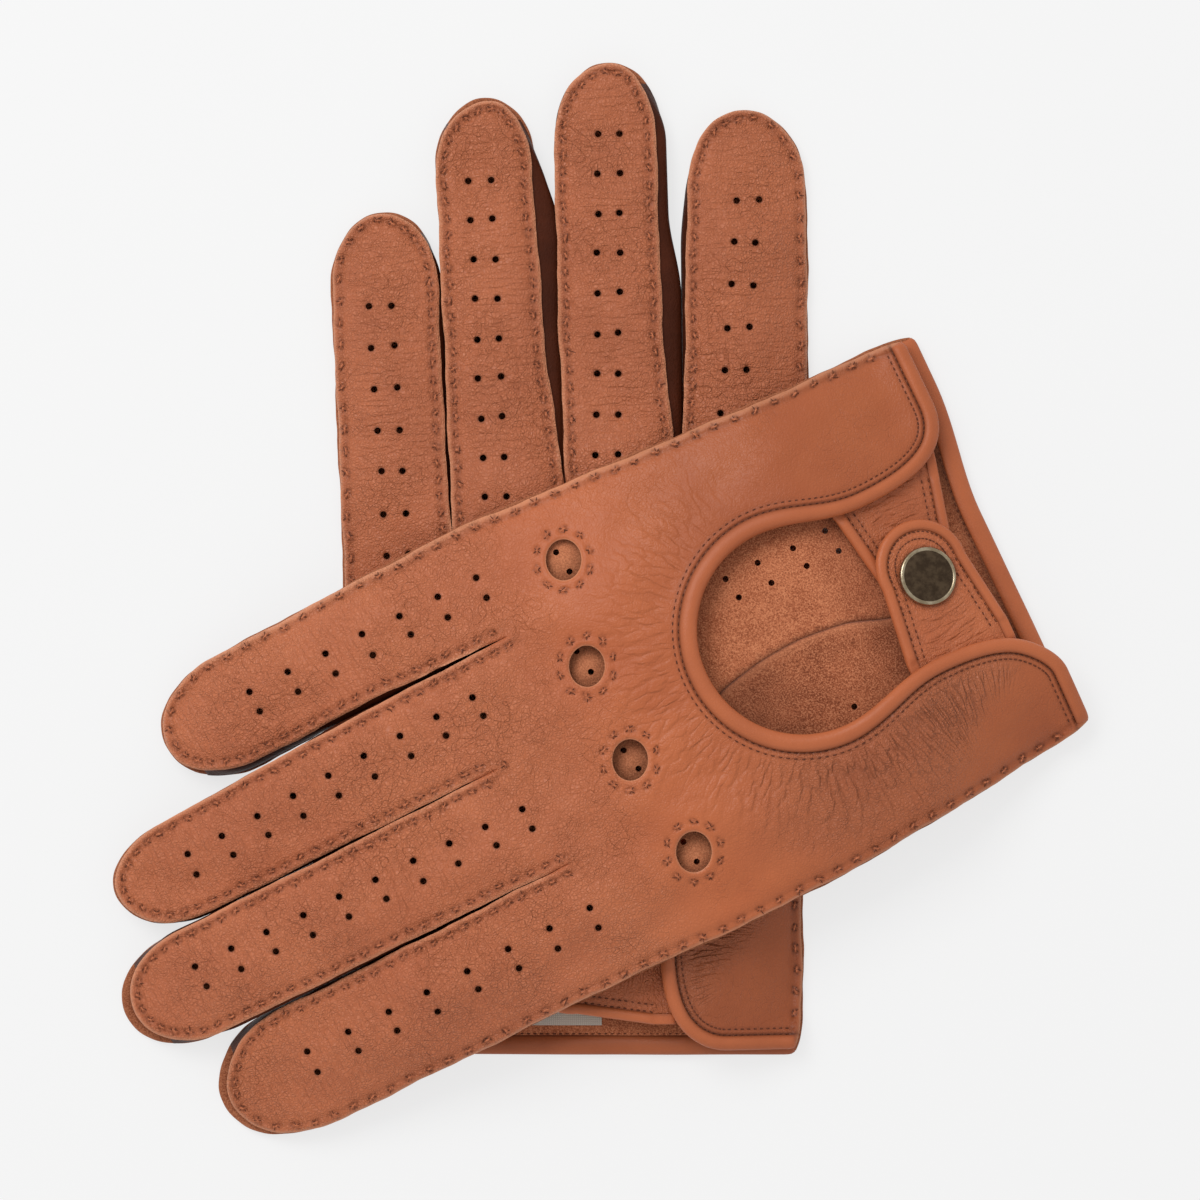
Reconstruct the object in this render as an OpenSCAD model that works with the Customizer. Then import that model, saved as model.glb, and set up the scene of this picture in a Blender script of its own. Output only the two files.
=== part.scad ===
// Pair of short leather driving gloves, laid flat and crossed, the right glove over the left.
// Millimetres, +Z up, origin on the table under the middle of the pair.
// Each glove is drawn as a right glove lying by itself: x runs from the index side to the
// little finger's side, y from the cuff to the fingertips, z up from what it lies on.
// The left glove is then mirrored, and the right one turned, raised and draped over it.

/* [Leather] */
// Thickness of the glove leather
leather_t = 1.0; // [0.8:0.1:1.2]
// Clearance between pieces that are sewn to each other or lie on each other
seam_gap = 0.3; // [0.25:0.05:0.4]
// Clearance between flat pieces that touch
fit_gap = 0.1; // [0.05:0.05:0.15]
// Thickness of the binding strip
bind_t = 0.7; // [0.5:0.1:0.9]
// Width of the rolled binding on the cuff and the window
bind_w = 4.6; // [4:0.1:5.5]
// Width of the binding on the tab and the stud strap
strap_bind_w = 3.4; // [2.6:0.1:4]

/* [Hand] */
// Cuff width, side seam to side seam
cuff_w = 97; // [92:1:102]
// Bulge of the index side over the thumb
index_bulge = 3.5; // [0:0.5:6]
// How far the palm's leather stands out beside the back's at the side seams
palm_margin = 1.0; // [0:0.1:2]
// Rise of the back leather above its seams at the middle of a finger
crown = 0.8; // [0.4:0.1:1.4]
// Diameter of the knuckle holes
knuckle_hole_d = 8.6; // [6:0.2:11]
// Knuckle holes from the cuff: index, middle, ring, little
knuckle_y = [95.6, 99.8, 99.6, 94]; // [88:0.2:106]

/* [Fingers] */
// Finger widths: index, middle, ring, little
finger_w = [29, 25.2, 25.2, 26.8]; // [23:0.2:31]
// Fingertips from the cuff: index, middle, ring, little
fingertip_y = [218, 229.5, 221, 195]; // [185:0.5:240]
// Middle finger joints from the cuff: index, middle, ring, little
bend_y = [160, 168, 160, 145]; // [138:0.5:175]
// Slits between the fingers, from the cuff
crotch_y = [123, 129, 114]; // [106:0.5:132]
// Height of the side strips at the foot of the fingers
strip_h = 5.4; // [4.5:0.1:6]
// Height of the side strips at the fingertips
strip_tip_h = 2; // [1.8:0.1:3]
// Length of the rounded tip over half the finger's width
tip_round = 1.35; // [1:0.05:1.6]

/* [Thumb] */
// Width of the thumb
thumb_w = 27; // [22:0.5:29]
// Length of the thumb from its pivot
thumb_len = 66; // [55:0.5:67]
// Diameter of the thumb hole in the palm
thumb_hole_d = 34; // [28:0.5:36]
// Thumb pivot across the hand
thumb_x = -27; // [-30:0.5:-25]
// Thumb pivot from the cuff
thumb_y = 60; // [59:0.5:64]
// Lean of the folded thumb towards the palm
thumb_lean = 15; // [8:1:16]

/* [Opening] */
// Width of the window on the back of the hand
window_d = 48; // [44:0.5:52]
// Middle of the window from the cuff
window_y = 51.4; // [50:0.2:54]
// Middle of the opening across the hand
opening_x = -1.4; // [-3:0.2:1]
// Width of the neck between the flaps
neck_w = 38.8; // [36:0.2:41]
// Narrowest place of the neck from the cuff
neck_y = 26; // [22:0.5:29]
// Half width of the opening where its edge meets the cuff
flare_w = 35; // [32:0.5:38]

/* [Straps] */
// Width of the tab where it leaves the flap
tab_w = 27.2; // [24:0.2:28]
// Radius of the tab's round end
tab_end_r = 11.2; // [10:0.1:12.5]
// Width of the stud strap
stud_strap_w = 26; // [23:0.2:27]
// Radius of the stud strap's free end
stud_strap_end_r = 9.6; // [9.2:0.1:11]
// Distance between the tab and the stud strap where they are snapped
snap_h = 2.2; // [2:0.1:3]
// Diameter of the snap cap
snap_cap_d = 13.4; // [11:0.2:15]
// Rise of the snap cap
snap_cap_h = 1.5; // [1:0.1:1.6]
// Snap across the hand
snap_x = -2.8; // [-4:0.1:-1]
// Snap from the cuff
snap_y = 20; // [19:0.2:21]

/* [Label] */
// Width of the label
label_w = 26; // [18:0.5:30]
// Length of the label
label_l = 13; // [9:0.5:15]
// Thickness of the label
label_t = 0.4; // [0.3:0.1:0.6]

/* [Lay of the pair] */
// Left glove's cuff middle
left_at = [-6.5, -105.1]; // [-130:0.1:120]
// Right glove's cuff middle
right_at = [92.7, 16.1]; // [-130:0.1:120]
// Turn of the right glove
right_turn = 115.3; // [110:0.1:120]
// Gaps between the left glove's fingers, from the index side
left_gaps = [3, 1, 1]; // [0.8:0.1:5]
// Gaps between the right glove's fingers, from the index side
right_gaps = [1.4, 1.4, 1.4]; // [0.8:0.1:5]
// Shift of the left glove's knuckles towards the little finger
left_shift = -1.4; // [-4:0.1:4]
// Shift of the right glove's knuckles towards the little finger
right_shift = -1.6; // [-4:0.1:4]
// Lean of the left glove's fingers towards the little finger
left_splay = [0.5, 1.6, 2.9, 2.5]; // [-3:0.1:4]
// Lean of the right glove's fingers towards the little finger
right_splay = [-1.5, -1.2, -1.4, -1.6]; // [-3:0.1:4]
// Lean of the left glove's palm-side finger leaves against the back leaves
left_front_lean = [0, -1.4, -1.1, 0]; // [-2:0.1:2]
// Lean of the right glove's palm-side finger leaves against the back leaves
right_front_lean = [0.5, 0, 0, -0.4]; // [-2:0.1:2]
// How far the left glove's palm-side leaves reach past the back leaves
left_front_reach = [0, 0.6, 1.6, 0.4]; // [0:0.1:4]
// How far the right glove's palm-side leaves reach past the back leaves
right_front_reach = [1.2, 3, 1.2, 0.4]; // [0:0.1:4]

/* [Hidden] */
left = 0;
right = 1;
sides = ["left", "right"];
fingers = ["index", "middle", "ring", "little"];
$fn = 40;

back_color = [0.68, 0.41, 0.29];
palm_color = [0.62, 0.36, 0.24];
wall_color = [0.5, 0.28, 0.18];
bind_color = [0.56, 0.34, 0.23];
snap_color = [0.4, 0.32, 0.2];
label_color = [0.85, 0.84, 0.8];

// Sums of the finger widths and of the gaps, up to a finger
function sum_to(list, n) = n <= 0 ? 0 : list[n - 1] + sum_to(list, n - 1);
// Smooth step from 0 to 1
function smooth(t) = let (c = min(1, max(0, t))) c * c * (3 - 2 * c);
function mix(a, b, t) = a + (b - a) * t;
// Straight ramp with a rounded foot
function ramp(t, k) = t < -k ? 0 : t > k ? t : (t + k) * (t + k) / (4 * k);

// Heights of the flat stack at the cuff
thumb_stack = 2 * leather_t + seam_gap;
bed_h = thumb_stack + 2 * seam_gap;
slot_h = leather_t / 2 + seam_gap;
bead_h = slot_h + bind_t;
bead_over = seam_gap + bind_t;
strap_edge_h = leather_t / 2 + fit_gap + bind_t;
strap_mid = bed_h + leather_t + seam_gap + strap_edge_h;
tab_mid = strap_mid + leather_t + snap_h;
flap_high = tab_mid + leather_t / 2 + 2 * seam_gap + bead_h + leather_t / 2;
flap_low = strap_mid + leather_t / 2 + seam_gap + bead_h + leather_t / 2;
loft = 2 * leather_t + 2 * seam_gap + strip_h + crown;
palm_cuff_lift = bind_t + seam_gap;
seam_cuff_lift = 2 * bind_t + 2 * seam_gap + 0.4;

// How far the round base of the thumb laps under the palm round its hole
thumb_lap = 2;
// The right glove lies at this height on the left one, and its cuff hangs down to the table
right_z = max(flap_high, bed_h + loft) - leather_t / 2 + bead_h + 2 * seam_gap;
drape_y = thumb_y - thumb_hole_d / 2 - thumb_lap;
drape_round = 4;
drape_slope = right_z / drape_y;

// Cuff edges of the two leaves, and the split across a finger at its bend
palm_cuff_y = 0.4;
flap_cuff_y = palm_cuff_y + 1.5;
split = seam_gap + 0.1;

// Where each glove's fingers stand on its knuckle line
function gaps(g) = g == left ? left_gaps : right_gaps;
function shift(g) = g == left ? left_shift : right_shift;
function knuckle_w(g) = sum_to(finger_w, 4) + sum_to(gaps(g), 3);
function root_left(g, k) =
    shift(g) - knuckle_w(g) / 2 + sum_to(finger_w, k) + sum_to(gaps(g), k);
function root_mid(g, k) = root_left(g, k) + finger_w[k] / 2;
function crotch_left(k) = crotch_y[max(0, k - 1)];
function crotch_right(k) = crotch_y[min(2, k)];
function root_y(k) = (crotch_left(k) + crotch_right(k)) / 2;

// A leaf is 0 for the back of a finger and 1 for its palm side
function lean(g, k, leaf) =
    (g == left ? left_splay : right_splay)[k]
    + leaf * (g == left ? left_front_lean : right_front_lean)[k];
function reach(g, k, leaf) = leaf * (g == left ? left_front_reach : right_front_reach)[k];
function bend_v(g, k, leaf) = (bend_y[k] - root_y(k)) / cos(lean(g, k, leaf));
function tip_v(g, k, leaf) =
    (fingertip_y[k] + reach(g, k, leaf) - root_y(k)) / cos(lean(g, k, leaf));
// Half width of a finger at distance v from its root, with an elliptic tip
function half_w(g, k, leaf, v) =
    let (h = finger_w[k] / 2,
         r = tip_round * h,
         s = (v - tip_v(g, k, leaf) + r) / r)
    s <= 0 ? h : h * sqrt(max(0, 1 - s * s));
// Point on a finger, v along it and c across it
function finger_at(g, k, leaf, v, c) =
    let (a = lean(g, k, leaf))
    [root_mid(g, k) + v * sin(a) + c * cos(a), root_y(k) + v * cos(a) - c * sin(a)];

// Side seams of the hand
function index_seam(g, y) =
    let (f = min(1, max(0, y / crotch_y[0])))
    mix(-cuff_w / 2, root_left(g, 0), f) - index_bulge * sin(180 * f);
function little_seam(g, y) =
    mix(cuff_w / 2, root_left(g, 3) + finger_w[3], min(1, max(0, y / crotch_y[2])));

// Underside of the palm: it lies on the folded thumb on the index side
bed_x = 38;
bed_side_run = 32;
bed_y = 20;
bed_run = 26;
bed_end = 164;
bed_end_run = 40;
// The cuff is lifted by its binding, down to these distances from its edge
palm_lift_y = 11;
seam_lift_y = 10;
lift_run = 7;
function bed(x, y) =
    bed_h * smooth((bed_x - x) / bed_side_run) * smooth((y - bed_y) / bed_run)
        * smooth((bed_end - y) / bed_end_run)
    + palm_cuff_lift * smooth((palm_lift_y - y) / lift_run);

// Upper side of the back over the hand: seams at the sides, two flaps of unequal height at the cuff
flap_step = 32;
flap_end = 40;
flap_end_run = 36;
// Share of the hand's width over which the back lies level
level_share = 0.45;
function seam_z(x, y) =
    bed(x, y) + 2 * leather_t + seam_gap + seam_cuff_lift * smooth((seam_lift_y - y) / lift_run);
function flap_z(x) = mix(flap_high, flap_low, smooth(x / flap_step + 0.5));
function crest_z(x, y) = mix(flap_z(x), bed(x, y) + loft, smooth((y - flap_end) / flap_end_run));
function arch(q) = min(1, (1 - pow(abs(q), 4)) / (1 - pow(level_share, 4)));
function hand_z(g, x, y) =
    let (l = index_seam(g, y),
         r = little_seam(g, y),
         q = min(1, max(-1, (2 * x - l - r) / (r - l))))
    seam_z(x, y) + (crest_z(x, y) - seam_z(x, y)) * arch(q);

// Upper side of the back over a finger, u from -1 to 1 across it; it grows out of the hand's
root_run = 20;
slope_bulge = 0.35;
function strip_at(g, k, v) =
    let (s = v / tip_v(g, k, 0))
    strip_tip_h + (strip_h - strip_tip_h) * (1 - s * s);
function finger_z(g, k, v, u) =
    let (p = finger_at(g, k, 0, v, u * half_w(g, k, 0, v)),
         s = v / tip_v(g, k, 0),
         low = bed(p.x, p.y) + 2 * leather_t + seam_gap,
         high = low + seam_gap + strip_at(g, k, v),
         a = k == 0 ? low : high,
         b = k == 3 ? low : high,
         dome = (crown + slope_bulge * abs(a - b)) * (1 - pow(abs(s), 4)),
         own = mix(a, b, (1 + u) / 2) + dome * (1 - u * u))
    mix(hand_z(g, p.x, p.y), own, smooth(v / root_run));

// Height of a glove's bed in the pair: the right glove's cuff and finger ends droop to the table
function cuff_drop(y) = drape_slope * ramp(drape_y - y, drape_round);
function finger_drop(g, k, v) =
    right_z * max(0, v - bend_v(g, k, 0)) / (tip_v(g, k, 0) - bend_v(g, k, 0));
function lay_z(g, y, k = -1, v = 0) =
    g == left ? 0 : max(0, right_z - cuff_drop(y) - (k < 0 ? 0 : finger_drop(g, k, v)));
function lay(g, x, y, z) =
    g == left ? [left_at.x - x, left_at.y + y, z]
    : [right_at.x + x * cos(right_turn) - y * sin(right_turn),
       right_at.y + x * sin(right_turn) + y * cos(right_turn), z];

// Faces of a quad as two triangles, turned round on the mirrored glove
function quad(g, a, b, c, d) = g == left ? [[c, b, a], [d, c, a]] : [[a, b, c], [a, c, d]];
function flat(rows) = [for (r = rows) each r];

// Sheet between an upper and a lower grid of points, with the cells that kept() leaves out missing
module sheet(g, upper, lower, kept) {
    n = len(upper);
    m = len(upper[0]);
    on = function (i, j) i >= 0 && j >= 0 && i < n - 1 && j < m - 1 && kept(i, j);
    t = function (i, j) i * m + j;
    b = function (i, j) n * m + i * m + j;
    faces = [
        for (i = [0:n - 2], j = [0:m - 2]) if (on(i, j)) each concat(
            quad(g, t(i, j), t(i + 1, j), t(i + 1, j + 1), t(i, j + 1)),
            quad(g, b(i, j), b(i, j + 1), b(i + 1, j + 1), b(i + 1, j)),
            on(i, j - 1) ? [] : quad(g, t(i + 1, j), t(i, j), b(i, j), b(i + 1, j)),
            on(i, j + 1) ? [] : quad(g, t(i, j + 1), t(i + 1, j + 1), b(i + 1, j + 1), b(i, j + 1)),
            on(i - 1, j) ? [] : quad(g, t(i, j), t(i, j + 1), b(i, j + 1), b(i, j)),
            on(i + 1, j) ? [] : quad(g, t(i + 1, j + 1), t(i + 1, j), b(i + 1, j), b(i + 1, j + 1)))
    ];
    polyhedron(concat(flat(upper), flat(lower)), faces);
}

// Strip with an open profile: each ring goes out along one side and back along the other
module strip(g, rings) {
    n = len(rings);
    m = len(rings[0]);
    h = m / 2;
    id = function (i, j) i * m + j % m;
    sides = [for (i = [0:n - 2], j = [0:m - 1]) each
        quad(g, id(i, j), id(i, j + 1), id(i + 1, j + 1), id(i + 1, j))];
    first = [for (j = [0:h - 2]) each quad(g, id(0, j), id(0, m - 1 - j), id(0, m - 2 - j), id(0, j + 1))];
    last = [for (j = [0:h - 2]) each
        quad(g, id(n - 1, j), id(n - 1, j + 1), id(n - 1, m - 2 - j), id(n - 1, m - 1 - j))];
    polyhedron(flat(rings), concat(sides, first, last));
}

// Grid of the hand: five columns to a finger, rows from the cuff to the knuckles, then to the bends
columns = [for (k = [0:3], u = [-1, -0.5, 0, 0.5, 1]) [k, u]];
hand_rows = 14;
root_rows = 4;
// The rows crowd together towards the cuff
row_crowding = 1.25;
function outer(k, u) = k == 0 && u == -1 ? -1 : k == 3 && u == 1 ? 1 : 0;
function hand_xy(g, leaf, k, u, f) =
    let (root = root_mid(g, k) + u * finger_w[k] / 2,
         share = (root - root_left(g, 0)) / knuckle_w(g),
         y0 = leaf == 0 ? flap_cuff_y : palm_cuff_y)
    [mix((share - 0.5) * cuff_w, root, f) - index_bulge * sin(180 * f) * (1 - share)
        + leaf * palm_margin * outer(k, u),
     mix(y0, mix(crotch_left(k), crotch_right(k), (1 + u) / 2), f)];
function root_xy(g, leaf, k, u, r) =
    let (end = bend_v(g, k, leaf) - split / 2)
    mix(hand_xy(g, leaf, k, u, 1),
        finger_at(g, k, leaf, end, u * finger_w[k] / 2 + leaf * palm_margin * outer(k, u)), r);
// How far along its finger a point of the grid lies
function along(g, k, p) =
    (p.x - root_mid(g, k)) * sin(lean(g, k, 0)) + (p.y - root_y(k)) * cos(lean(g, k, 0));
function grid_xy(g, leaf, i, c) =
    i <= hand_rows ? hand_xy(g, leaf, c[0], c[1], pow(i / hand_rows, row_crowding))
    : root_xy(g, leaf, c[0], c[1], (i - hand_rows) / root_rows);
function back_z(g, i, c, p) =
    i <= hand_rows ? hand_z(g, p.x, p.y) : finger_z(g, c[0], along(g, c[0], p), c[1]);
function panel(g, leaf, down) = [for (i = [0:hand_rows + root_rows]) [for (c = columns)
    let (p = grid_xy(g, leaf, i, c),
         z = leaf == 0 ? back_z(g, i, c, p) : bed(p.x, p.y) + leather_t)
    lay(g, p.x, p.y, z - down + lay_z(g, p.y))]];
// Slits between the fingers start at the knuckle row
slit = function (i, j) i < hand_rows || j % 5 != 4;

// Grid of a finger end: straight rows to the tip, then rows round the tip
tip_turns = [20, 40, 58, 74, 86];
function tip_rows(g, k, leaf) =
    let (start = bend_v(g, k, leaf) + split / 2,
         r = tip_round * finger_w[k] / 2,
         full = tip_v(g, k, leaf) - r)
    concat([for (f = [0:0.34:1]) mix(start, full, f)], [full], [for (a = tip_turns) full + r * sin(a)]);
function tip_grid(g, k, leaf, down) = [for (v = tip_rows(g, k, leaf)) [for (u = [-1:0.5:1])
    let (wide = leaf * palm_margin * outer(k, u) * half_w(g, k, leaf, v) * 2 / finger_w[k],
         p = finger_at(g, k, leaf, v, u * half_w(g, k, leaf, v) + wide),
         z = leaf == 0 ? finger_z(g, k, v, u) : bed(p.x, p.y) + leather_t)
    lay(g, p.x, p.y, z - down + lay_z(g, p.y, k, v))]];
whole = function (i, j) true;

// Edge of the opening on one side, from the cuff round to the top of the window
edge_r = window_d / 2 + bead_over;
neck_h = neck_w / 2 + bead_over;
join_a = -8;
// Lengths of the handles that round the edge off
flare_pull = 10;
neck_pull_down = 17;
neck_pull_up = 9;
join_pull = 8;
function bezier(a, b, c, d, t) =
    pow(1 - t, 3) * a + 3 * t * pow(1 - t, 2) * b + 3 * t * t * (1 - t) * c + pow(t, 3) * d;
neck = [neck_h, neck_y];
join = [edge_r * cos(join_a), window_y + edge_r * sin(join_a)];
edge_side = concat(
    [for (t = [0:0.2:0.99]) bezier([flare_w, flap_cuff_y], [flare_w - flare_pull, flap_cuff_y],
        neck - [0, neck_pull_down], neck, t)],
    [for (t = [0:0.25:0.99]) bezier(neck, neck + [0, neck_pull_up],
        join - join_pull * [-sin(join_a), cos(join_a)], join, t)],
    [for (a = [join_a:14:86]) [edge_r * cos(a), window_y + edge_r * sin(a)]]);
function edge_path(ends) =
    let (low = [for (x = ends) [x, flap_cuff_y]],
         half = concat(low, edge_side))
    concat([for (p = half) [opening_x + p.x, p.y]],
           [[opening_x, window_y + edge_r]],
           [for (i = [len(half) - 1:-1:0]) [opening_x - half[i].x, half[i].y]]);

// Profile of a rolled binding as [beyond the edge, above the leaf's middle], out and back
lip = bind_w - bead_over;
lip_h = 0.9 * bead_h;
roll = -0.6;
slot_end = [fit_gap, fit_gap + seam_gap];
bead_out = [[-lip, lip_h], [roll, bead_h], [bead_over, 0], [roll, -bead_h], [-lip, -lip_h]];
bead_back = [[-lip, -slot_h], [slot_end[0], -slot_h], [slot_end[1], 0], [slot_end[0], slot_h],
    [-lip, slot_h]];
bead = concat(bead_out, bead_back);
// Left-hand direction of a path at point i
function off_path(path, i) =
    let (d = path[min(i + 1, len(path) - 1)] - path[max(i - 1, 0)])
    [-d.y, d.x] / norm(d);
function bead_rings(g, path, mid) = [for (i = [0:len(path) - 1])
    let (n = off_path(path, i))
    [for (b = bead)
        let (p = path[i] + b[0] * n,
             q = path[i] + min(0, b[0]) * n)
        lay(g, p.x, p.y, mid(q.x, q.y) + b[1] + lay_z(g, q.y))]];

// Flat pieces: the thumb lies level, the straps lie in the plane of the cuff
module level(g) {
    if (g == left) translate([left_at.x, left_at.y, 0]) mirror([1, 0, 0]) children();
    else translate([right_at.x, right_at.y, right_z]) rotate([0, 0, right_turn]) children();
}
module in_cuff(g) {
    if (g == left) level(g) children();
    else level(g)
        translate([0, snap_y, tab_mid - cuff_drop(snap_y)])
        rotate([atan(drape_slope), 0, 0])
        translate([0, -snap_y, -tab_mid]) children();
}

module hand_back(g) {
    color(back_color) difference() {
        sheet(g, panel(g, 0, 0), panel(g, 0, leather_t), slit);
        level(g) {
            translate([0, 0, -2 * right_z]) linear_extrude(4 * right_z)
                polygon(concat([[opening_x + flare_w + 1, -flap_cuff_y]], edge_path([]),
                               [[opening_x - flare_w - 1, -flap_cuff_y]]));
            for (k = [0:3])
                translate([knuckle_x(g, k), knuckle_y[k], -2 * right_z])
                cylinder(d = knuckle_hole_d, h = 4 * right_z);
        }
    }
}
// The knuckle holes lie a little inwards of the fingers
knuckle_draw = 0.89;
knuckle_shift = 0.7;
function knuckle_x(g, k) = knuckle_shift + knuckle_draw * root_mid(g, k);

module hand_palm(g) {
    color(palm_color) difference() {
        sheet(g, panel(g, 1, 0), panel(g, 1, leather_t), slit);
        level(g) translate([thumb_x, thumb_y, -right_z]) cylinder(d = thumb_hole_d, h = 3 * right_z);
    }
}

module tip_back(g, k) {
    color(back_color) sheet(g, tip_grid(g, k, 0, 0), tip_grid(g, k, 0, leather_t), whole);
}
module tip_front(g, k) {
    color(palm_color) sheet(g, tip_grid(g, k, 1, 0), tip_grid(g, k, 1, leather_t), whole);
}

// Side strip of a finger: a wall between two lips that lie against the leaves
strip_inset = 1.3;
strip_t = 0.7;
strip_edge = 0.2;
strip_reach = strip_inset + strip_t + 0.4;
function strip_ring(g, k, s, v) =
    let (w = half_w(g, k, 0, v),
         wf = half_w(g, k, 1, v),
         deep = strip_inset + strip_t,
         top = function (d) finger_at(g, k, 0, v, s * (w - d)),
         low = function (d) finger_at(g, k, 1, v, s * (wf - d)),
         zt = min([for (d = [0, strip_reach]) finger_z(g, k, v, s * (1 - d / w))]) - leather_t - seam_gap,
         zb = max([for (d = [0, strip_reach]) bed(low(d).x, low(d).y)]) + leather_t + seam_gap,
         pts = [[top(strip_edge), zt], [top(deep), zt], [low(deep), zb], [low(strip_edge), zb],
                [low(strip_edge), zb + strip_t], [low(strip_inset), zb + strip_t],
                [top(strip_inset), zt - strip_t], [top(strip_edge), zt - strip_t]],
         ring = [for (q = pts) lay(g, q[0].x, q[0].y, q[1] + lay_z(g, q[0].y, k, v))])
    s > 0 ? ring : [for (i = [len(ring) - 1:-1:0]) ring[i]];
module side_strip(g, k, s, v0, v1, n) {
    strip(g, [for (i = [0:n]) strip_ring(g, k, s, mix(v0, v1, i / n))]);
}
function strip_sides(k) = k == 0 ? [1] : k == 3 ? [-1] : [-1, 1];
module fourchette_bases(g) {
    color(wall_color) for (k = [0:3], s = strip_sides(k)) {
        start = (s > 0 ? crotch_right(k) : crotch_left(k)) - root_y(k) + 1;
        side_strip(g, k, s, start, bend_v(g, k, 0) - split / 2, 4);
    }
}
// The strips run out on the round of the tip, at this share of it from its end
strip_stop = 0.3;
module tip_fourchettes(g, k) {
    end = tip_v(g, k, 0) - strip_stop * tip_round * finger_w[k] / 2;
    color(wall_color) for (s = strip_sides(k))
        side_strip(g, k, s, bend_v(g, k, 0) + split / 2, end, 6);
}

// The bindings stop short of the side seams, and the opening's turns into the cuff's edge
opening_bind_stop = 3;
opening_bind_turn = 6;
palm_bind_stop = 1;
module opening_binding(g) {
    ends = [cuff_w / 2 - opening_bind_stop, flare_w + opening_bind_turn];
    color(bind_color) strip(g, bead_rings(g, edge_path(ends),
        function (x, y) hand_z(g, x, y) - leather_t / 2));
}
module palm_binding(g) {
    n = 16;
    half = cuff_w / 2 - palm_bind_stop;
    color(bind_color) strip(g, bead_rings(g, [for (i = [0:n]) [mix(half, -half, i / n), palm_cuff_y]],
        function (x, y) bed(x, y) + leather_t / 2));
}

// Thumb: a round base that turns under the thumb hole, and a stall of two leaves
thumb_base_r = thumb_hole_d / 2 + thumb_lap;
module at_thumb(g) {
    level(g) translate([thumb_x, thumb_y, 0]) rotate([0, 0, -thumb_lean]) children();
}
module stall(from) {
    tip = thumb_len - thumb_w / 2;
    translate([-thumb_w / 2, from]) square([thumb_w, tip - from]);
    translate([0, tip]) circle(d = thumb_w);
}
module thumb_front(g) {
    color(palm_color) at_thumb(g) linear_extrude(leather_t) {
        circle(r = thumb_base_r);
        stall(0);
    }
}
module thumb_back(g) {
    color(palm_color) at_thumb(g) translate([0, 0, leather_t + seam_gap])
        linear_extrude(leather_t) difference() {
            stall(0);
            circle(r = thumb_base_r);
        }
}

// Tab and stud strap outlines, drawn in from their edges by a margin and run on past their roots
tab_edge_in = 0.9;
tab_hinge_x = opening_x - neck_w / 2 + strap_edge_h + seam_gap;
tab_end_x = snap_x + 2.4;
// How far the stud strap runs under its flap, and how far its binding stops short of the flap's edge
stud_strap_tuck = 9;
stud_bind_stop = 1;
stud_strap_root = opening_x + neck_w / 2 + stud_strap_tuck;
stud_bind_root = opening_x + neck_w / 2 - stud_bind_stop;
// Share of a strap's length by which the cuts in it run on past its root
cut_run = 0.1;
module strap_outline(root, end, w, r, way, in, run_on) {
    round_end = [for (a = [-96:12:96]) [end + way * (r - in) * cos(a), snap_y + (r - in) * sin(a)]];
    low = [root, snap_y - w / 2 + in];
    high = [root, snap_y + w / 2 - in];
    polygon(concat([mix(round_end[0], low, 1 + run_on)], round_end,
                   [mix(round_end[len(round_end) - 1], high, 1 + run_on)]));
}
module tab_outline(in, run_on = 0) {
    strap_outline(tab_hinge_x, tab_end_x, tab_w, tab_end_r, 1, in, run_on);
}
module stud_strap_outline(root, in, run_on = 0) {
    strap_outline(root, snap_x, stud_strap_w, stud_strap_end_r, -1, in, run_on);
}
module slab(mid, h) {
    translate([0, 0, mid - h / 2]) linear_extrude(h) children();
}

// Snap fastener: cap rivet through the tab into the socket, post through the strap under the stud
cap_foot = 0.4;
rivet_r = 1.6;
socket_r = 5;
socket_h = 1.4;
socket_roof = 0.3;
stud_r = 2.1;
stud_play = 0.5;
stud_flange_r = 4.5;
stud_flange_t = 0.5;
plate_gap = fit_gap / 2;
module at_snap(z) {
    translate([snap_x, snap_y, z]) children();
}

module snap_tab(g) {
    color(back_color) in_cuff(g) difference() {
        slab(tab_mid, leather_t) tab_outline(tab_edge_in);
        at_snap(tab_mid - leather_t) cylinder(r = rivet_r + fit_gap, h = 2 * leather_t);
    }
}
module tab_binding(g) {
    color(bind_color) in_cuff(g) difference() {
        slab(tab_mid, 2 * strap_edge_h) tab_outline(0);
        slab(tab_mid, 3 * strap_edge_h) tab_outline(strap_bind_w, cut_run);
        slab(tab_mid, leather_t + 2 * fit_gap) tab_outline(tab_edge_in - fit_gap, cut_run);
    }
}
tab_root_l = 7.5;
module tab_root(g) {
    end = tab_hinge_x - strap_edge_h - seam_gap;
    color(back_color) in_cuff(g) slab(tab_mid, leather_t)
        translate([end - tab_root_l, snap_y - tab_w / 2 + tab_edge_in])
        square([tab_root_l, tab_w - 2 * tab_edge_in]);
}
module stud_strap(g) {
    color(back_color) in_cuff(g) difference() {
        slab(strap_mid, leather_t) stud_strap_outline(stud_strap_root, tab_edge_in);
        at_snap(strap_mid - leather_t) cylinder(r = rivet_r + fit_gap, h = 2 * leather_t);
    }
}
module stud_strap_binding(g) {
    color(bind_color) in_cuff(g) difference() {
        slab(strap_mid, 2 * strap_edge_h) stud_strap_outline(stud_bind_root, 0);
        slab(strap_mid, 3 * strap_edge_h) stud_strap_outline(stud_bind_root, strap_bind_w, cut_run);
        slab(strap_mid, leather_t + 2 * fit_gap)
            stud_strap_outline(stud_bind_root, tab_edge_in - fit_gap, cut_run);
    }
}

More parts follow.
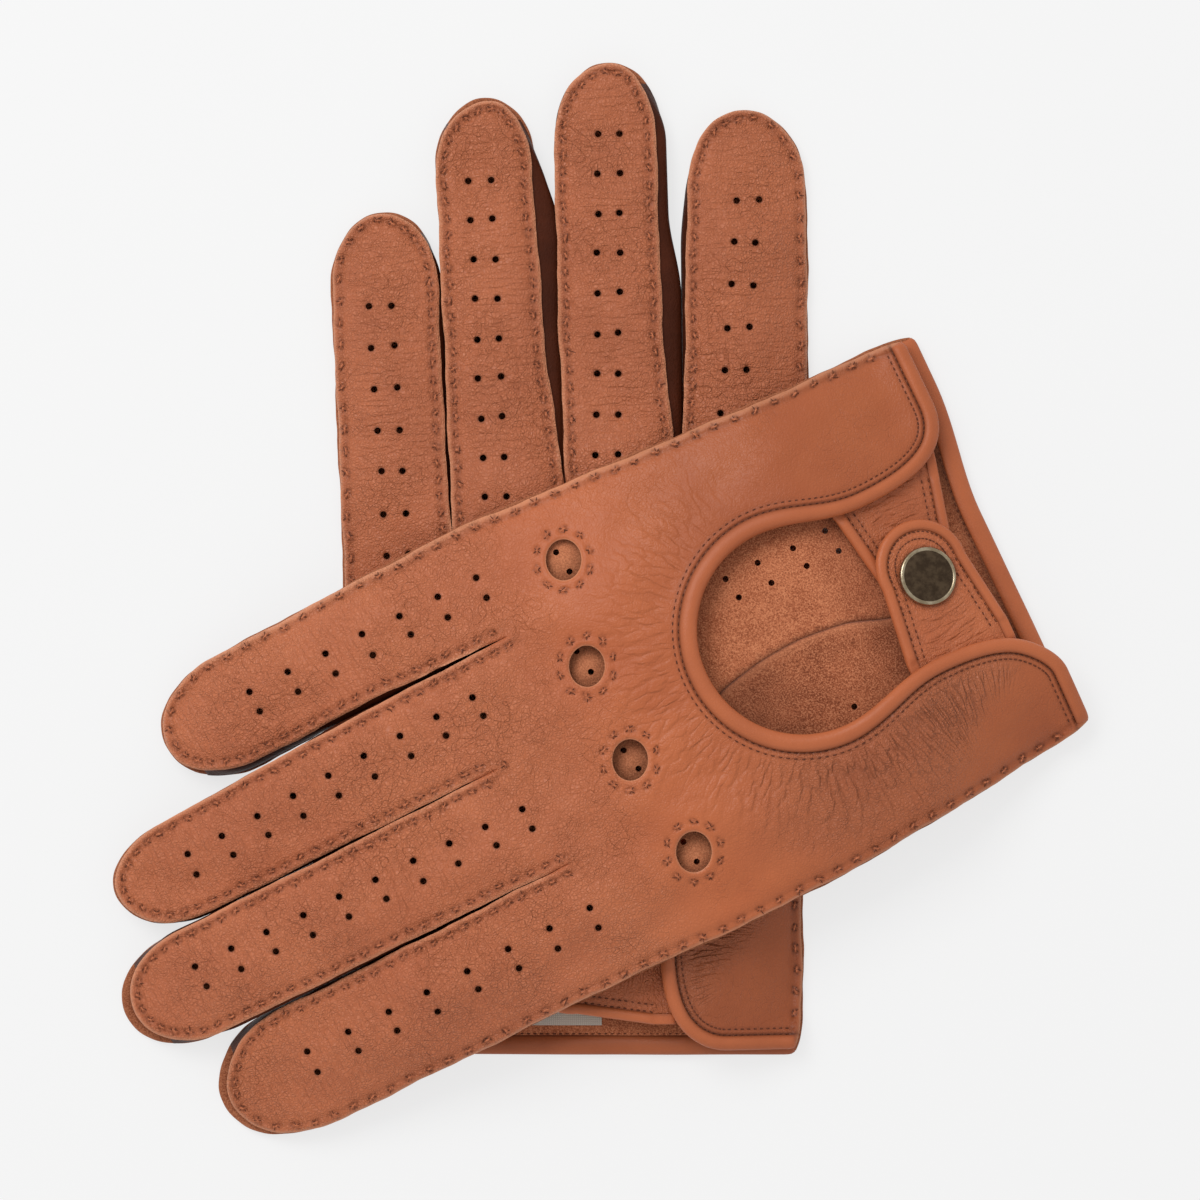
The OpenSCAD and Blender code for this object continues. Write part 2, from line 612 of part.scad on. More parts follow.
module snap_cap(g) {
    r = snap_cap_d / 2;
    rise = snap_cap_h - cap_foot;
    ball = (r * r + rise * rise) / (2 * rise);
    dome = [for (t = [0:0.25:1])
        let (a = t * asin(r / ball))
        [ball * sin(a), snap_cap_h - ball + ball * cos(a)]];
    rivet_end = -leather_t - plate_gap;
    color(snap_color) in_cuff(g) at_snap(tab_mid + leather_t / 2 + plate_gap) rotate_extrude()
        polygon(concat([[0, rivet_end]], dome, [[r, 0], [rivet_r, 0], [rivet_r, rivet_end]]));
}
module snap_socket(g) {
    color(snap_color) in_cuff(g) at_snap(tab_mid - leather_t / 2 - plate_gap - socket_h) difference() {
        cylinder(r = socket_r, h = socket_h);
        translate([0, 0, -1]) cylinder(r = stud_r + stud_play, h = socket_h - socket_roof + 1);
    }
}
module snap_stud(g) {
    color(snap_color) in_cuff(g) at_snap(strap_mid + leather_t / 2 + plate_gap) {
        cylinder(r = stud_flange_r, h = stud_flange_t);
        cylinder(r = stud_r, h = snap_h - socket_roof - 3 * fit_gap);
    }
}
module snap_post(g) {
    color(snap_color) in_cuff(g) at_snap(strap_mid - leather_t / 2 - plate_gap - stud_flange_t) {
        cylinder(r = stud_flange_r, h = stud_flange_t);
        cylinder(r = rivet_r, h = stud_flange_t + plate_gap + leather_t);
    }
}

label_y = 5.8;
label_x = 5.6;
module label() {
    color(label_color) level(left)
        translate([label_x - label_w / 2, label_y,
                   bed(label_x, label_y) + leather_t + fit_gap])
        cube([label_w, label_l, label_t]);
}

GLOVE_NODES = ["hand_back", "hand_palm", "fourchette_bases", "thumb_front", "thumb_back",
    "opening_binding", "palm_binding", "snap_tab", "tab_binding", "tab_root", "stud_strap",
    "stud_strap_binding", "snap_cap", "snap_socket", "snap_stud", "snap_post"];
TIP_NODES = ["tip_back", "tip_front", "tip_fourchettes"];

for (g = [left, right]) {
    hand_back(g);
    hand_palm(g);
    fourchette_bases(g);
    thumb_front(g);
    thumb_back(g);
    opening_binding(g);
    palm_binding(g);
    snap_tab(g);
    tab_binding(g);
    tab_root(g);
    stud_strap(g);
    stud_strap_binding(g);
    snap_cap(g);
    snap_socket(g);
    snap_stud(g);
    snap_post(g);
    for (k = [0:3]) {
        finger = str(sides[g], "_", fingers[k]);
        tip_back(g, k);
        tip_front(g, k);
        tip_fourchettes(g, k);
    }
}
label();  // left_label
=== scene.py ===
import bpy
import numpy as np
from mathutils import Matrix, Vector
from mathutils.geometry import delaunay_2d_cdt


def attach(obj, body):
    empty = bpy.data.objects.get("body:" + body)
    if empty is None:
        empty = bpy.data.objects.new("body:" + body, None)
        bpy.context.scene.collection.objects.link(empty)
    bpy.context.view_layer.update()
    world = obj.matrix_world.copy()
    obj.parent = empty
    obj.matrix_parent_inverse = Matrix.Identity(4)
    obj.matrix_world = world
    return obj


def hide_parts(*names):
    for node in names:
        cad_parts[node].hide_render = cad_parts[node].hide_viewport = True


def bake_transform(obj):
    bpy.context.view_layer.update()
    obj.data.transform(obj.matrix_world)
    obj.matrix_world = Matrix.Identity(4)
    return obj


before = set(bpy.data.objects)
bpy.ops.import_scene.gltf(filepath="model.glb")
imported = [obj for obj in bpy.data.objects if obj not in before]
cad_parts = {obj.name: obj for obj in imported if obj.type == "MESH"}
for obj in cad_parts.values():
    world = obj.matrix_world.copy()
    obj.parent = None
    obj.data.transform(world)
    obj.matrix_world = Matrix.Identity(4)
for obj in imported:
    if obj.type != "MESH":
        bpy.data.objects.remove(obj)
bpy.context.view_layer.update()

mm = 0.001
dice = np.random.default_rng(11)
fingers = ("index", "middle", "ring", "little")

# the cut of the gloves, in mm, drawn as a right glove lying by itself
# x runs from the index side to the little finger, y from the cuff to the fingertips, z up
cut = {
    "leather": 1.0, "gap": 0.3, "bind": 0.7,
    "cuff": 97.0, "bulge": 3.5, "palmMargin": 0.3, "crown": 0.8,
    "fingertip": (218.0, 229.5, 221.0, 195.0),
    "bend": (160.0, 168.0, 160.0, 145.0),
    "crotch": (123.0, 129.0, 114.0),
    "wall": 5.4, "wallTip": 2.0, "tipRound": 1.35,
    "flapCuff": 1.9, "corner": (0.6, 0.9),
    "thumb": (-27.0, 60.0), "thumbHole": 17.0, "thumbLap": 2.0,
    "thumbWidth": 27.0, "thumbLength": 66.0, "thumbLean": 15.0,
    "windowRound": 24.0, "windowY": 51.4, "openingX": -1.4,
    "neckWidth": 38.8, "neckY": 26.0, "flare": 35.0,
    "snap": (-2.8, 20.0), "snapRise": 2.2,
    # smooth steps, as a start and a run: the bed, the lifted cuff and seam, the hand's crest, a finger's swell
    "bedX": (38, 32), "bedY": (20, 26), "bedEnd": (164, 40), "cuffLift": (11, 7),
    "seamLift": (10, 7), "seamLiftHigh": 2.4, "crest": (40, 36), "flapStep": 32, "level": 0.45,
    "swell": (18, 25), "swellHigh": 1.1, "tilt": 0.35, "rootRun": 20, "cuffBend": 4, "fingerBend": 5,
    "spreadRun": 45, "palmEdge": (5, 32), "taperRun": (0.12, 0.75), "dropX": (26, 10), "dropY": (2, 16),
    "windowFrom": (0.2, 0.14), "windowTo": (0.66, 0.14), "neckTurn": -8, "pull": (9, 18, 9, 8),
    # a hand-cut edge wanders as sines, by a height and a run, less between the right glove's fingers
    "wander": ((0.2, 5), (0.13, 2.3), (0.05, 0.9)), "wanderEase": 8, "wanderShare": (0.7, 0.4),
}
# trim takes a finger's back in on its index side and its little side, taper does so towards the tip
# open is how far before a neighbour's tip the walls stop swelling, share what the wall on a gap's little side fills
gloves = {
    "left": {
        "side": "left", "at": (-6.5, -105.1), "turn": 0.0, "lies": 0, "palmCuff": (-0.1, 0.3), "flapDrop": 0.5,
        "widths": (29.0, 25.2, 25.2, 25.2), "gaps": (1.6, 1.0, 1.0), "shift": -1.5, "close": 0.0, "spread": (4.7, 0.0),
        "trim": ((0, 0), (2.3, -1.3), (1.9, -0.6), (0.4, 0)), "taper": ((0, 1.3), (0.3, 0.2), (1.5, 0), (0, 0)),
        "open": (24, 20, 0), "share": (0.9, 0.9, 0.5), "splay": (0.5, 1.6, 2.9, 2.5), "reach": (1.2, 0.3, 0.3, 0.0),
        "frontLean": (0.0, 0.3, 0.5, 0.0), "frontReach": (0.0, 0.4, 0.9, 0.4), "strapLow": -0.4},
    "right": {
        "side": "right", "at": (92.7, 16.1), "turn": 115.3, "lies": 1, "palmCuff": (2.5, -3.4), "flapDrop": 1.7,
        "widths": (29.0, 25.2, 25.2, 26.8), "gaps": (1.4, 1.4, 1.4), "shift": -1.6, "close": 0.35, "spread": (1.4, 1.1),
        "trim": ((0, 0), (0, 0), (0, 0), (1.2, 0)), "taper": ((0, 0), (0, 0.3), (0, 2.5), (0, 0)),
        "open": (0, -6, 20), "share": (0.5, 0.8, 0.7), "splay": (-1.5, -1.2, -1.4, -2.5), "reach": (0.0, 0.0, 0.4, 1.2),
        "frontLean": (0.5, 0.0, 0.0, -0.2), "frontReach": (2.0, 2.4, 0.8, 0.4), "strapLow": 1.6},
}

# heights of the flat stack, as the solids have them
sewn = 2 * cut["leather"] + cut["gap"]  # two leaves sewn edge to edge
bedHigh = sewn + 2 * cut["gap"]  # the palm lies on the folded thumb
beadHigh = cut["leather"] / 2 + cut["gap"] + cut["bind"]
beadOver = cut["gap"] + cut["bind"]
strapEdge = cut["leather"] / 2 + 0.1 + cut["bind"]
strapMid = bedHigh + cut["leather"] + cut["gap"] + strapEdge
tabMid = strapMid + cut["leather"] + cut["snapRise"]
flapHigh = tabMid + cut["leather"] + 2 * cut["gap"] + beadHigh
flapLow = strapMid + cut["leather"] + cut["gap"] + beadHigh
loft = sewn + cut["gap"] + cut["wall"] + cut["crown"]
rightLift = max(flapHigh, bedHigh + loft) - cut["leather"] / 2 + beadHigh + 2 * cut["gap"]
drapeY = cut["thumb"][1] - cut["thumbHole"] - cut["thumbLap"]
drapeSlope = rightLift / drapeY


def smooth(t):  # 3t^2 - 2t^3, level at both ends
    t = np.clip(t, 0, 1)
    return t * t * (3 - 2 * t)


def mix(a, b, t):
    return a + (b - a) * t


def bell(t):  # e to the minus t squared
    return np.exp(-t * t)


def ramp(t, k):  # 0, then a parabola from -k to k, then t
    return np.where(t < -k, 0, np.where(t > k, t, (t + k) ** 2 / (4 * k)))


def stepUp(t, spec):  # a smooth step from a start over a run
    return smooth((t - spec[0]) / spec[1])


def stepDown(t, spec):
    return smooth((spec[0] - t) / spec[1])


def ridge(d, spec):  # a height times a bell at a place with a width
    high, at, wide = spec
    return high * bell((d - at) / wide)


def edging(d, spec):  # a height at an edge that is gone after a run
    return spec[0] * (1 - smooth(d / spec[1]))


def unit(d):
    return d / np.linalg.norm(d, axis=1, keepdims=True)


def ray(a):  # the direction at an angle
    return np.stack([np.cos(a), np.sin(a)], axis=-1)


def leftOf(d):
    return np.stack([-d[:, 1], d[:, 0]], axis=-1)


def closed(loop):
    return np.concatenate([loop, loop[:1]])


def bellKernel(n, sigma):
    kernel = bell(np.arange(-n, n + 1) / (sigma * 1.414))
    return kernel / kernel.sum()


def fingerFrame(glove, k, leaf):  # a finger's own axes: v runs along it from its root, c across it
    widths, gaps = glove["widths"], glove["gaps"]
    span = sum(widths) + sum(gaps)
    left = glove["shift"] - span / 2 + sum(widths[:k]) + sum(gaps[:k])
    crotches = cut["crotch"][max(0, k - 1)], cut["crotch"][min(2, k)]
    rootY = sum(crotches) / 2
    lean = np.radians(glove["splay"][k] + leaf * glove["frontLean"][k])
    half = widths[k] / 2
    margin = [leaf * cut["palmMargin"] if outside else glove["close"] for outside in (k == 0, k == 3)]
    out = [margin[i] - (1 - leaf) * glove["trim"][k][i] for i in (0, 1)]
    tip = cut["fingertip"][k] + glove["reach"][k] + leaf * glove["frontReach"][k]
    return {"out": out, "taper": glove["taper"][k], "crotches": crotches, "root": np.array([left + half, rootY]),
            "left": left, "right": left + widths[k], "half": half, "round": cut["tipRound"] * half,
            "along": np.array([np.sin(lean), np.cos(lean)]), "across": np.array([np.cos(lean), -np.sin(lean)]),
            "bend": (cut["bend"][k] - rootY) / np.cos(lean), "tip": (tip - rootY) / np.cos(lean)}


def fingerPoint(f, v, c):
    v, c = np.broadcast_arrays(np.asarray(v, float), np.asarray(c, float))
    return f["root"] + v[..., None] * f["along"] + c[..., None] * f["across"]


def fingerCoords(f, p):
    q = p - f["root"]
    return q @ f["along"], q @ f["across"]


def taperRun(f, v):  # 0 at the root, 1 near the tip
    return stepUp(v / f["tip"], cut["taperRun"])


def edgeOut(f, s, v):  # how far a leaf's edge stands out past the finger's plain width
    i = (s + 1) // 2
    return f["out"][i] - f["taper"][i] * taperRun(f, v)


def halfWidth(f, v):  # full width, then an elliptic tip
    s = np.clip((v - f["tip"] + f["round"]) / f["round"], 0, 1)
    return f["half"] * np.sqrt(1 - s * s)


for glove in gloves.values():
    glove["back"] = [fingerFrame(glove, k, 0) for k in range(4)]
    glove["front"] = [fingerFrame(glove, k, 1) for k in range(4)]


# heights
def bed(x, y):  # underside of the palm: up on the thumb on the index side, up on its binding at the cuff
    return (bedHigh * stepDown(x, cut["bedX"]) * stepUp(y, cut["bedY"]) * stepDown(y, cut["bedEnd"])
            + beadOver * stepDown(y, cut["cuffLift"]))


def handTop(glove, x, y):  # side seams, two flaps of unequal height, and an arch of the fourth power between
    rise = np.clip(y / cut["crotch"][0], 0, 1)
    left = mix(-cut["cuff"] / 2, glove["back"][0]["left"], rise) - cut["bulge"] * np.sin(np.pi * rise)
    right = mix(cut["cuff"] / 2, glove["back"][3]["right"], np.clip(y / cut["crotch"][2], 0, 1))
    q = np.clip((2 * x - left - right) / (right - left), -1, 1)
    seam = bed(x, y) + sewn + cut["seamLiftHigh"] * stepDown(y, cut["seamLift"])
    flap = mix(flapHigh, flapLow, smooth(x / cut["flapStep"] + 0.5))
    crest = mix(flap, bed(x, y) + loft, stepUp(y, cut["crest"]))
    return seam + (crest - seam) * np.minimum(1, (1 - q ** 4) / (1 - cut["level"] ** 4))


def fingerTop(glove, k, v, u):  # sewn edge on the outside, a wall high on the inside, domed between
    f = glove["back"][k]
    p = fingerPoint(f, v, u * halfWidth(f, v))
    s = np.clip(v / f["tip"], -1, 1)
    low = bed(p[..., 0], p[..., 1]) + sewn
    high = low + cut["gap"] + cut["wallTip"] + (cut["wall"] - cut["wallTip"]) * (1 - s * s)
    a = low if k == 0 else high
    b = low if k == 3 else high
    dome = (cut["crown"] + cut["tilt"] * np.abs(a - b)) * (1 - s ** 4)
    dome = dome + cut["swellHigh"] * stepUp(v, cut["swell"]) * (1 - s ** 6)
    own = mix(a, b, (1 + u) / 2) + dome * (1 - u * u)
    return mix(handTop(glove, p[..., 0], p[..., 1]), own, smooth(v / cut["rootRun"]))


def whichFinger(frames, p):  # the finger whose middle line is nearest, counted in half widths of the leaf as it is cut
    far = []
    for f in frames:
        v, c = fingerCoords(f, p)
        low, high = (f["half"] + edgeOut(f, s, v) for s in (-1, 1))
        far.append(np.abs(c - (high - low) / 2) / (high + low))
    return np.argmin(far, axis=0)


def backBase(glove, p):
    z = handTop(glove, p[:, 0], p[:, 1])
    k = whichFinger(glove["back"], p)
    for i, f in enumerate(glove["back"]):
        v, c = fingerCoords(f, p)
        on = (k == i) & (v > 0)
        u = np.clip(c / np.maximum(halfWidth(f, v), 0.5), -1, 1)
        z = np.where(on, fingerTop(glove, i, v, u), z)
    return z


def droop(glove, p, frames):  # the right glove lies on the left one, its cuff and finger ends hang to the table
    if not glove["lies"]:
        return np.zeros(len(p))
    z = rightLift - drapeSlope * ramp(drapeY - p[:, 1], cut["cuffBend"])
    k = whichFinger(frames, p)
    for i, f in enumerate(glove["back"]):
        v = fingerCoords(f, p)[0]
        z = np.where(k == i, z - rightLift * ramp(v - f["bend"], cut["fingerBend"]) / (f["tip"] - f["bend"]), z)
    return np.maximum(z, 0)


def place(glove, p, z):  # from the glove's own frame to the pair's
    x, y = p[..., 0], p[..., 1]
    if glove["lies"]:
        a = np.radians(glove["turn"])
        x, y = x * np.cos(a) - y * np.sin(a), x * np.sin(a) + y * np.cos(a)
    else:
        x = -x
    return np.stack([glove["at"][0] + x, glove["at"][1] + y, z], axis=-1)


blur = {"step": 1.0, "low": (-76, -8), "high": (77, 242), "cells": 8, "sigma": 2.5}


def blurredBack(glove):  # the same heights on a grid, softened by a bell
    xs, ys = (np.arange(a, b, blur["step"]) for a, b in zip(blur["low"], blur["high"]))
    grid = np.stack(np.meshgrid(xs, ys, indexing="ij"), axis=-1).reshape(-1, 2)
    z = backBase(glove, grid).reshape(len(xs), len(ys))
    n = blur["cells"]
    kernel = bellKernel(n, blur["sigma"])
    for axis in (0, 1):
        wide = np.pad(z, [(n, n) if i == axis else (0, 0) for i in (0, 1)], mode="edge")
        z = np.apply_along_axis(lambda r: np.convolve(r, kernel, "valid"), axis, wide)
    return z


def sampled(grid, p):  # bilinear
    i = np.clip((p - blur["low"]) / blur["step"], 0, np.array(grid.shape) - 1.001)
    a = i.astype(int)
    f = i - a
    a, b = a[:, 0], a[:, 1]
    low, high = (mix(grid[a, b + i], grid[a + 1, b + i], f[:, 0]) for i in (0, 1))
    return mix(low, high, f[:, 1])


# lines and outlines
def runLength(line):
    return np.concatenate([[0], np.cumsum(np.linalg.norm(np.diff(line, axis=0), axis=1))])


def resample(line, step):
    s = runLength(line)
    t = np.linspace(0, s[-1], max(2, int(round(s[-1] / step)) + 1))
    return np.stack([np.interp(t, s, line[:, i]) for i in range(line.shape[1])], axis=-1)


def runningMean(wide, n, sigma):
    kernel = bellKernel(n, sigma)
    return np.stack([np.convolve(wide[:, i], kernel, "valid") for i in (0, 1)], axis=-1)


def soften(line, sigma):  # running mean with a bell, ends held
    n = int(3 * sigma)
    wide = np.concatenate([2 * line[0] - line[n:0:-1], line, 2 * line[-1] - line[-2:-n - 2:-1]])
    return runningMean(wide, n, sigma)


def closedLine(points, step, sigma):  # a smooth closed line through about these points
    n = int(3 * sigma)
    line = resample(closed(np.array(points, float)), step)[:-1]
    return runningMean(np.concatenate([line[-n:], line, line[:n]]), n, sigma)


def sideNormal(line):  # to the right of the way along the line
    return -leftOf(unit(np.gradient(line, axis=0)))


def palmEdge(glove, x):  # the palm's cuff, lower on the little finger's side
    start, drop = glove["palmCuff"]
    return start + drop * stepUp(x, cut["palmEdge"])


def seamLine(glove, leaf):  # from the cuff up the index side, round every finger and down the little finger's side
    frames = glove["front" if leaf else "back"]
    margin, half = leaf * cut["palmMargin"], cut["cuff"] / 2
    low, high = (palmEdge(glove, x) if leaf else cut["flapCuff"] - glove["flapDrop"] * (x < 0) for x in (-half, half))
    f = np.linspace(0, 1, 120)
    indexX = mix(-half, frames[0]["left"], f) - cut["bulge"] * np.sin(np.pi * f) - margin
    indexSide = np.stack([indexX, mix(low, cut["crotch"][0], f)], axis=-1)
    littleX = mix(half, frames[3]["right"], f) + margin
    littleSide = np.stack([littleX, mix(high, cut["crotch"][2], f)], axis=-1)[::-1]
    for line, way, wide in ((indexSide, 1, glove["spread"][0]), (littleSide, -1, glove["spread"][1])):
        r = cut["corner"][leaf]  # corners rounded at the cuff, which is a little wider than the hand
        up = np.clip(1 - (line[:, 1] - line[:, 1].min()) / r, 0, 1)
        line[:, 0] += way * (r * (1 - np.sqrt(1 - up * up)) - wide * (1 - smooth(line[:, 1] / cut["spreadRun"])))
    parts = []
    turn = np.linspace(0, np.pi, 60)
    for k, f in enumerate(frames):
        v = f["tip"] - f["round"] + f["round"] * np.sin(turn)
        wide = f["half"] + np.where(turn < np.pi / 2, edgeOut(f, -1, v), edgeOut(f, 1, v))
        tip = fingerPoint(f, v, -wide * np.cos(turn))
        bend = np.array([f["bend"]])
        low, high = (fingerPoint(f, bend, s * (f["half"] + edgeOut(f, s, f["bend"]))) for s in (-1, 1))
        start = indexSide if k == 0 else crotchPoint[None]
        if k < 3:
            crotchPoint = np.array([(f["right"] + frames[k + 1]["left"]) / 2, f["crotches"][1] - 1])
        end = littleSide if k == 3 else crotchPoint[None]
        line = soften(resample(np.concatenate([start, low, tip, high, end]), 0.5), 5)
        s = runLength(line)
        phase, ease = dice.uniform(0, 6.28, 3), cut["wanderEase"]
        wander = sum(high * np.sin(s / run + a) for (high, run), a in zip(cut["wander"], phase))
        share = cut["wanderShare"][1 if glove["lies"] and 0 < k < 3 else 0]
        wander *= smooth(s / ease) * smooth((s[-1] - s) / ease) * share
        line = line + wander[:, None] * sideNormal(line)
        parts.append(resample(line, 0.6)[:None if k == 3 else -1])
    return np.concatenate(parts)


def bezier(a, b, c, d, t):
    t = t[:, None]
    return (1 - t) ** 3 * a + 3 * t * (1 - t) ** 2 * b + 3 * t * t * (1 - t) * c + t ** 3 * d


def openingLine(glove, tuck=None):  # from the little finger's flap up round the window and down the index flap
    edge = cut["windowRound"] + beadOver
    neck = np.array([cut["neckWidth"] / 2 + beadOver, cut["neckY"]])
    a, pull = np.radians(cut["neckTurn"]), cut["pull"]
    join = np.array([edge * np.cos(a), cut["windowY"] + edge * np.sin(a)])
    foot = np.array([cut["flare"], cut["flapCuff"]])
    t = np.linspace(0, 1, 40)
    turn = np.linspace(a, np.pi / 2, 60)
    way = np.array([-np.sin(a), np.cos(a)])
    half = np.concatenate([
        bezier(foot, foot - [pull[0], 0], neck - [0, pull[1]], neck, t),
        bezier(neck, neck + [0, pull[2]], join - pull[3] * way, join, t)[1:],
        (edge * ray(turn) + [0, cut["windowY"]])[1:]])
    line = np.concatenate([half, half[-2::-1] * [-1, 1]]) + [cut["openingX"], 0]
    if tuck is not None:  # on along the flaps' cuffs, to short of their corners
        far = [cut["cuff"] / 2 + wide - tuck for wide in glove["spread"]]
        low, high = ([[x, cut["flapCuff"]]] for x in (far[1], -far[0]))
        line = np.concatenate([low, line, high])
    line = resample(line, 0.6)
    line[:, 1] -= glove["flapDrop"] * stepUp(-line[:, 0], cut["dropX"]) * (1 - stepUp(line[:, 1], cut["dropY"]))
    return line


def windowShare(t):  # 1 round the window, 0 on the flaps, by the share of the bound edge run through
    return stepUp(t, cut["windowFrom"]) * (1 - stepUp(t, cut["windowTo"]))


def around(n):  # angles round a full turn
    return np.linspace(0, 2 * np.pi, n, endpoint=False)


def circle(at, r, n):
    return np.array(at) + r * ray(around(n))


def cells(points, size):  # the points' numbers, cell by cell of a square grid
    key = np.floor(points / size).astype(int)
    group = np.unique(key, axis=0, return_inverse=True)[1].ravel()
    order = np.argsort(group, kind="stable")
    return np.split(order, np.flatnonzero(np.diff(group[order])) + 1)


def nearest(points, line):  # distance to a line, and how far along it the nearest place is
    a, ab = line[:-1], np.diff(line, axis=0)
    size = np.maximum((ab ** 2).sum(1), 1e-12)
    s = runLength(line)
    far, run = np.empty(len(points)), np.empty(len(points))
    for g in cells(points, 10.0):
        middle = points[g].mean(0)
        reach = np.linalg.norm(points[g] - middle, axis=1).max()
        d = np.linalg.norm(a + ab / 2 - middle, axis=1)
        near = np.flatnonzero(d <= d.min() + 2 * reach + np.sqrt(size.max()))
        q = points[g][:, None] - a[near]
        t = np.clip((q * ab[near]).sum(2) / size[near], 0, 1)
        d = ((q - t[..., None] * ab[near]) ** 2).sum(2)
        j = d.argmin(1)
        rows = np.arange(len(j))
        far[g] = np.sqrt(d[rows, j])
        run[g] = s[near[j]] + t[rows, j] * np.sqrt(size[near[j]])
    return far, run


def nearestSpot(points, spots):  # distance to the nearest of some spots, and its number
    far, which = np.empty(len(points)), np.empty(len(points), int)
    for g in cells(points, 10.0):
        middle = points[g].mean(0)
        reach = np.linalg.norm(points[g] - middle, axis=1).max()
        d = np.linalg.norm(spots - middle, axis=1)
        near = np.flatnonzero(d <= d.min() + 2 * reach)
        d = np.linalg.norm(points[g][:, None] - spots[near], axis=2)
        j = d.argmin(1)
        far[g], which[g] = d[np.arange(len(j)), j], near[j]
    return far, which


def inside(points, loops):  # even-odd count of crossings
    out = np.zeros(len(points), bool)
    a = np.concatenate(loops)
    b = np.concatenate([np.roll(l, -1, axis=0) for l in loops])
    slope = (b[:, 0] - a[:, 0]) / np.where(b[:, 1] == a[:, 1], 1e-12, b[:, 1] - a[:, 1])
    for g in np.array_split(np.argsort(points[:, 1]), len(points) // 400 + 1):
        x, y = points[g, :1], points[g, 1:]
        if len(g):
            low, high = np.minimum(a[:, 1], b[:, 1]), np.maximum(a[:, 1], b[:, 1])
            e = np.flatnonzero((low <= y.max()) & (high >= y.min()))
            hit = ((a[e, 1] > y) != (b[e, 1] > y)) & (x < slope[e] * (y - a[e, 1]) + a[e, 0])
            out[g] = hit.sum(1) % 2 == 1
    return out


def hexGrid(low, high, step):
    xs = np.arange(low[0], high[0], step)
    ys = np.arange(low[1], high[1], step * 0.866)
    x, y = np.meshgrid(xs, ys)
    x = x + np.where(np.arange(len(ys)) % 2, step / 2, 0)[:, None]
    p = np.stack([x.ravel(), y.ravel()], axis=-1)
    return p + dice.uniform(-0.12, 0.12, p.shape) * step


def filled(loop, step, *clear):  # a honeycomb inside a loop, clear of some lines by their distances
    mesh = hexGrid(loop.min(0), loop.max(0), step)
    mesh = mesh[inside(mesh, [loop])]
    for line, far in clear:
        mesh = mesh[nearest(mesh, line)[0] > far]
    return mesh


# meshes
grainSlot, suedeSlot, edgeSlot, seamSlot, rowAndShadeSlot = range(5)  # the order of a leaf's materials
upward, downward, single = (grainSlot, suedeSlot, edgeSlot), (suedeSlot, grainSlot, edgeSlot), (0, 0, 0)


def partOf(verts, faces, attributes=None, sharp=None):  # faces are pairs of a table of corners and a material's slot
    return {"verts": verts.reshape(-1, 3), "faces": faces, "attributes": attributes or {},
            "sharp": np.zeros((0, 2), int) if sharp is None else sharp}


def triangulate(loops, lines, points):  # fills the loops with triangles, and keeps the lines as edges
    edges, start = [], 0
    for l in loops:
        i = np.arange(len(l))
        edges.append(np.stack([i, np.roll(i, -1)], axis=-1) + start)
        start += len(l)
    for l in lines:
        i = np.arange(len(l) - 1)
        edges.append(np.stack([i, i + 1], axis=-1) + start)
        start += len(l)
    coords = np.concatenate(list(loops) + list(lines) + [points])
    out = delaunay_2d_cdt(coords.tolist(), np.concatenate(edges).tolist(), [], 0, 1e-5, False)
    p, tris = np.array([v[:] for v in out[0]]), np.array(out[2])
    a, b = p[tris[:, 1]] - p[tris[:, 0]], p[tris[:, 2]] - p[tris[:, 0]]
    area = a[:, 0] * b[:, 1] - a[:, 1] * b[:, 0]
    tris = tris[(area > 1e-5) & inside(p[tris].mean(1), loops)]
    return p, tris


def rim(tris):  # edges that only one triangle has, in that triangle's order
    e = np.concatenate([tris[:, [0, 1]], tris[:, [1, 2]], tris[:, [2, 0]]])
    low, high = e.min(1), e.max(1)
    key = low * (tris.max() + 1) + high
    _, first, count = np.unique(key, return_index=True, return_counts=True)
    return e[first[count == 1]]


def sheetPart(top, bottom, tris, attributes, slots=upward):  # a leaf with its two sides and its cut edge
    used, tris = np.unique(tris, return_inverse=True)
    tris = tris.reshape(-1, 3)
    n = len(used)
    e = rim(tris)
    walls = np.stack([e[:, 0], e[:, 0] + n, e[:, 1] + n, e[:, 1]], axis=-1)
    faces = [(tris, slots[0]), (tris[:, ::-1] + n, slots[1]), (walls, slots[2])]
    attributes = {k: np.concatenate([a[used], a[used]]) for k, a in attributes.items()}
    return partOf(np.concatenate([top[used], bottom[used]]), faces, attributes, np.concatenate([e, e + n]))


def sweepPart(rings, slot=0, attributes=None):  # a profile carried along a path
    n, m = rings.shape[:2]
    i, j = np.meshgrid(np.arange(n - 1), np.arange(m), indexing="ij")
    i, j = i.ravel(), j.ravel()
    k = (j + 1) % m
    quads = np.stack([i * m + j, i * m + k, (i + 1) * m + k, (i + 1) * m + j], axis=-1)
    faces = [(quads, slot), (np.arange(m)[None, ::-1], slot), (np.arange(m)[None] + (n - 1) * m, slot)]
    return partOf(rings, faces, attributes)


def stitchPart(at, along, up, length, thick, slot):  # a short thread, high in the middle and sunk at its ends
    t = np.array([-1, -0.72, 0, 0.72, 1.0])
    girth = thick * np.array([0.45, 0.9, 1, 0.9, 0.45])
    lift = thick * np.array([-1.0, -0.2, 0.35, -0.2, -1.0])
    a = around(6)
    side = unit(np.cross(up, along))
    length = np.broadcast_to(length, (len(at),))
    v = (at[:, None, None] + (length[:, None] / 2 * t)[:, :, None, None] * along[:, None, None]
         + (lift[:, None] + girth[:, None] * np.sin(a))[None, :, :, None] * up[:, None, None]
         + (girth[:, None] * np.cos(a))[None, :, :, None] * side[:, None, None])
    one = sweepPart(np.zeros((len(t), len(a), 3)), slot)["faces"]
    first = np.arange(len(at))[:, None, None] * len(t) * len(a)
    return partOf(v, [((f[None] + first).reshape(-1, f.shape[1]), m) for f, m in one])


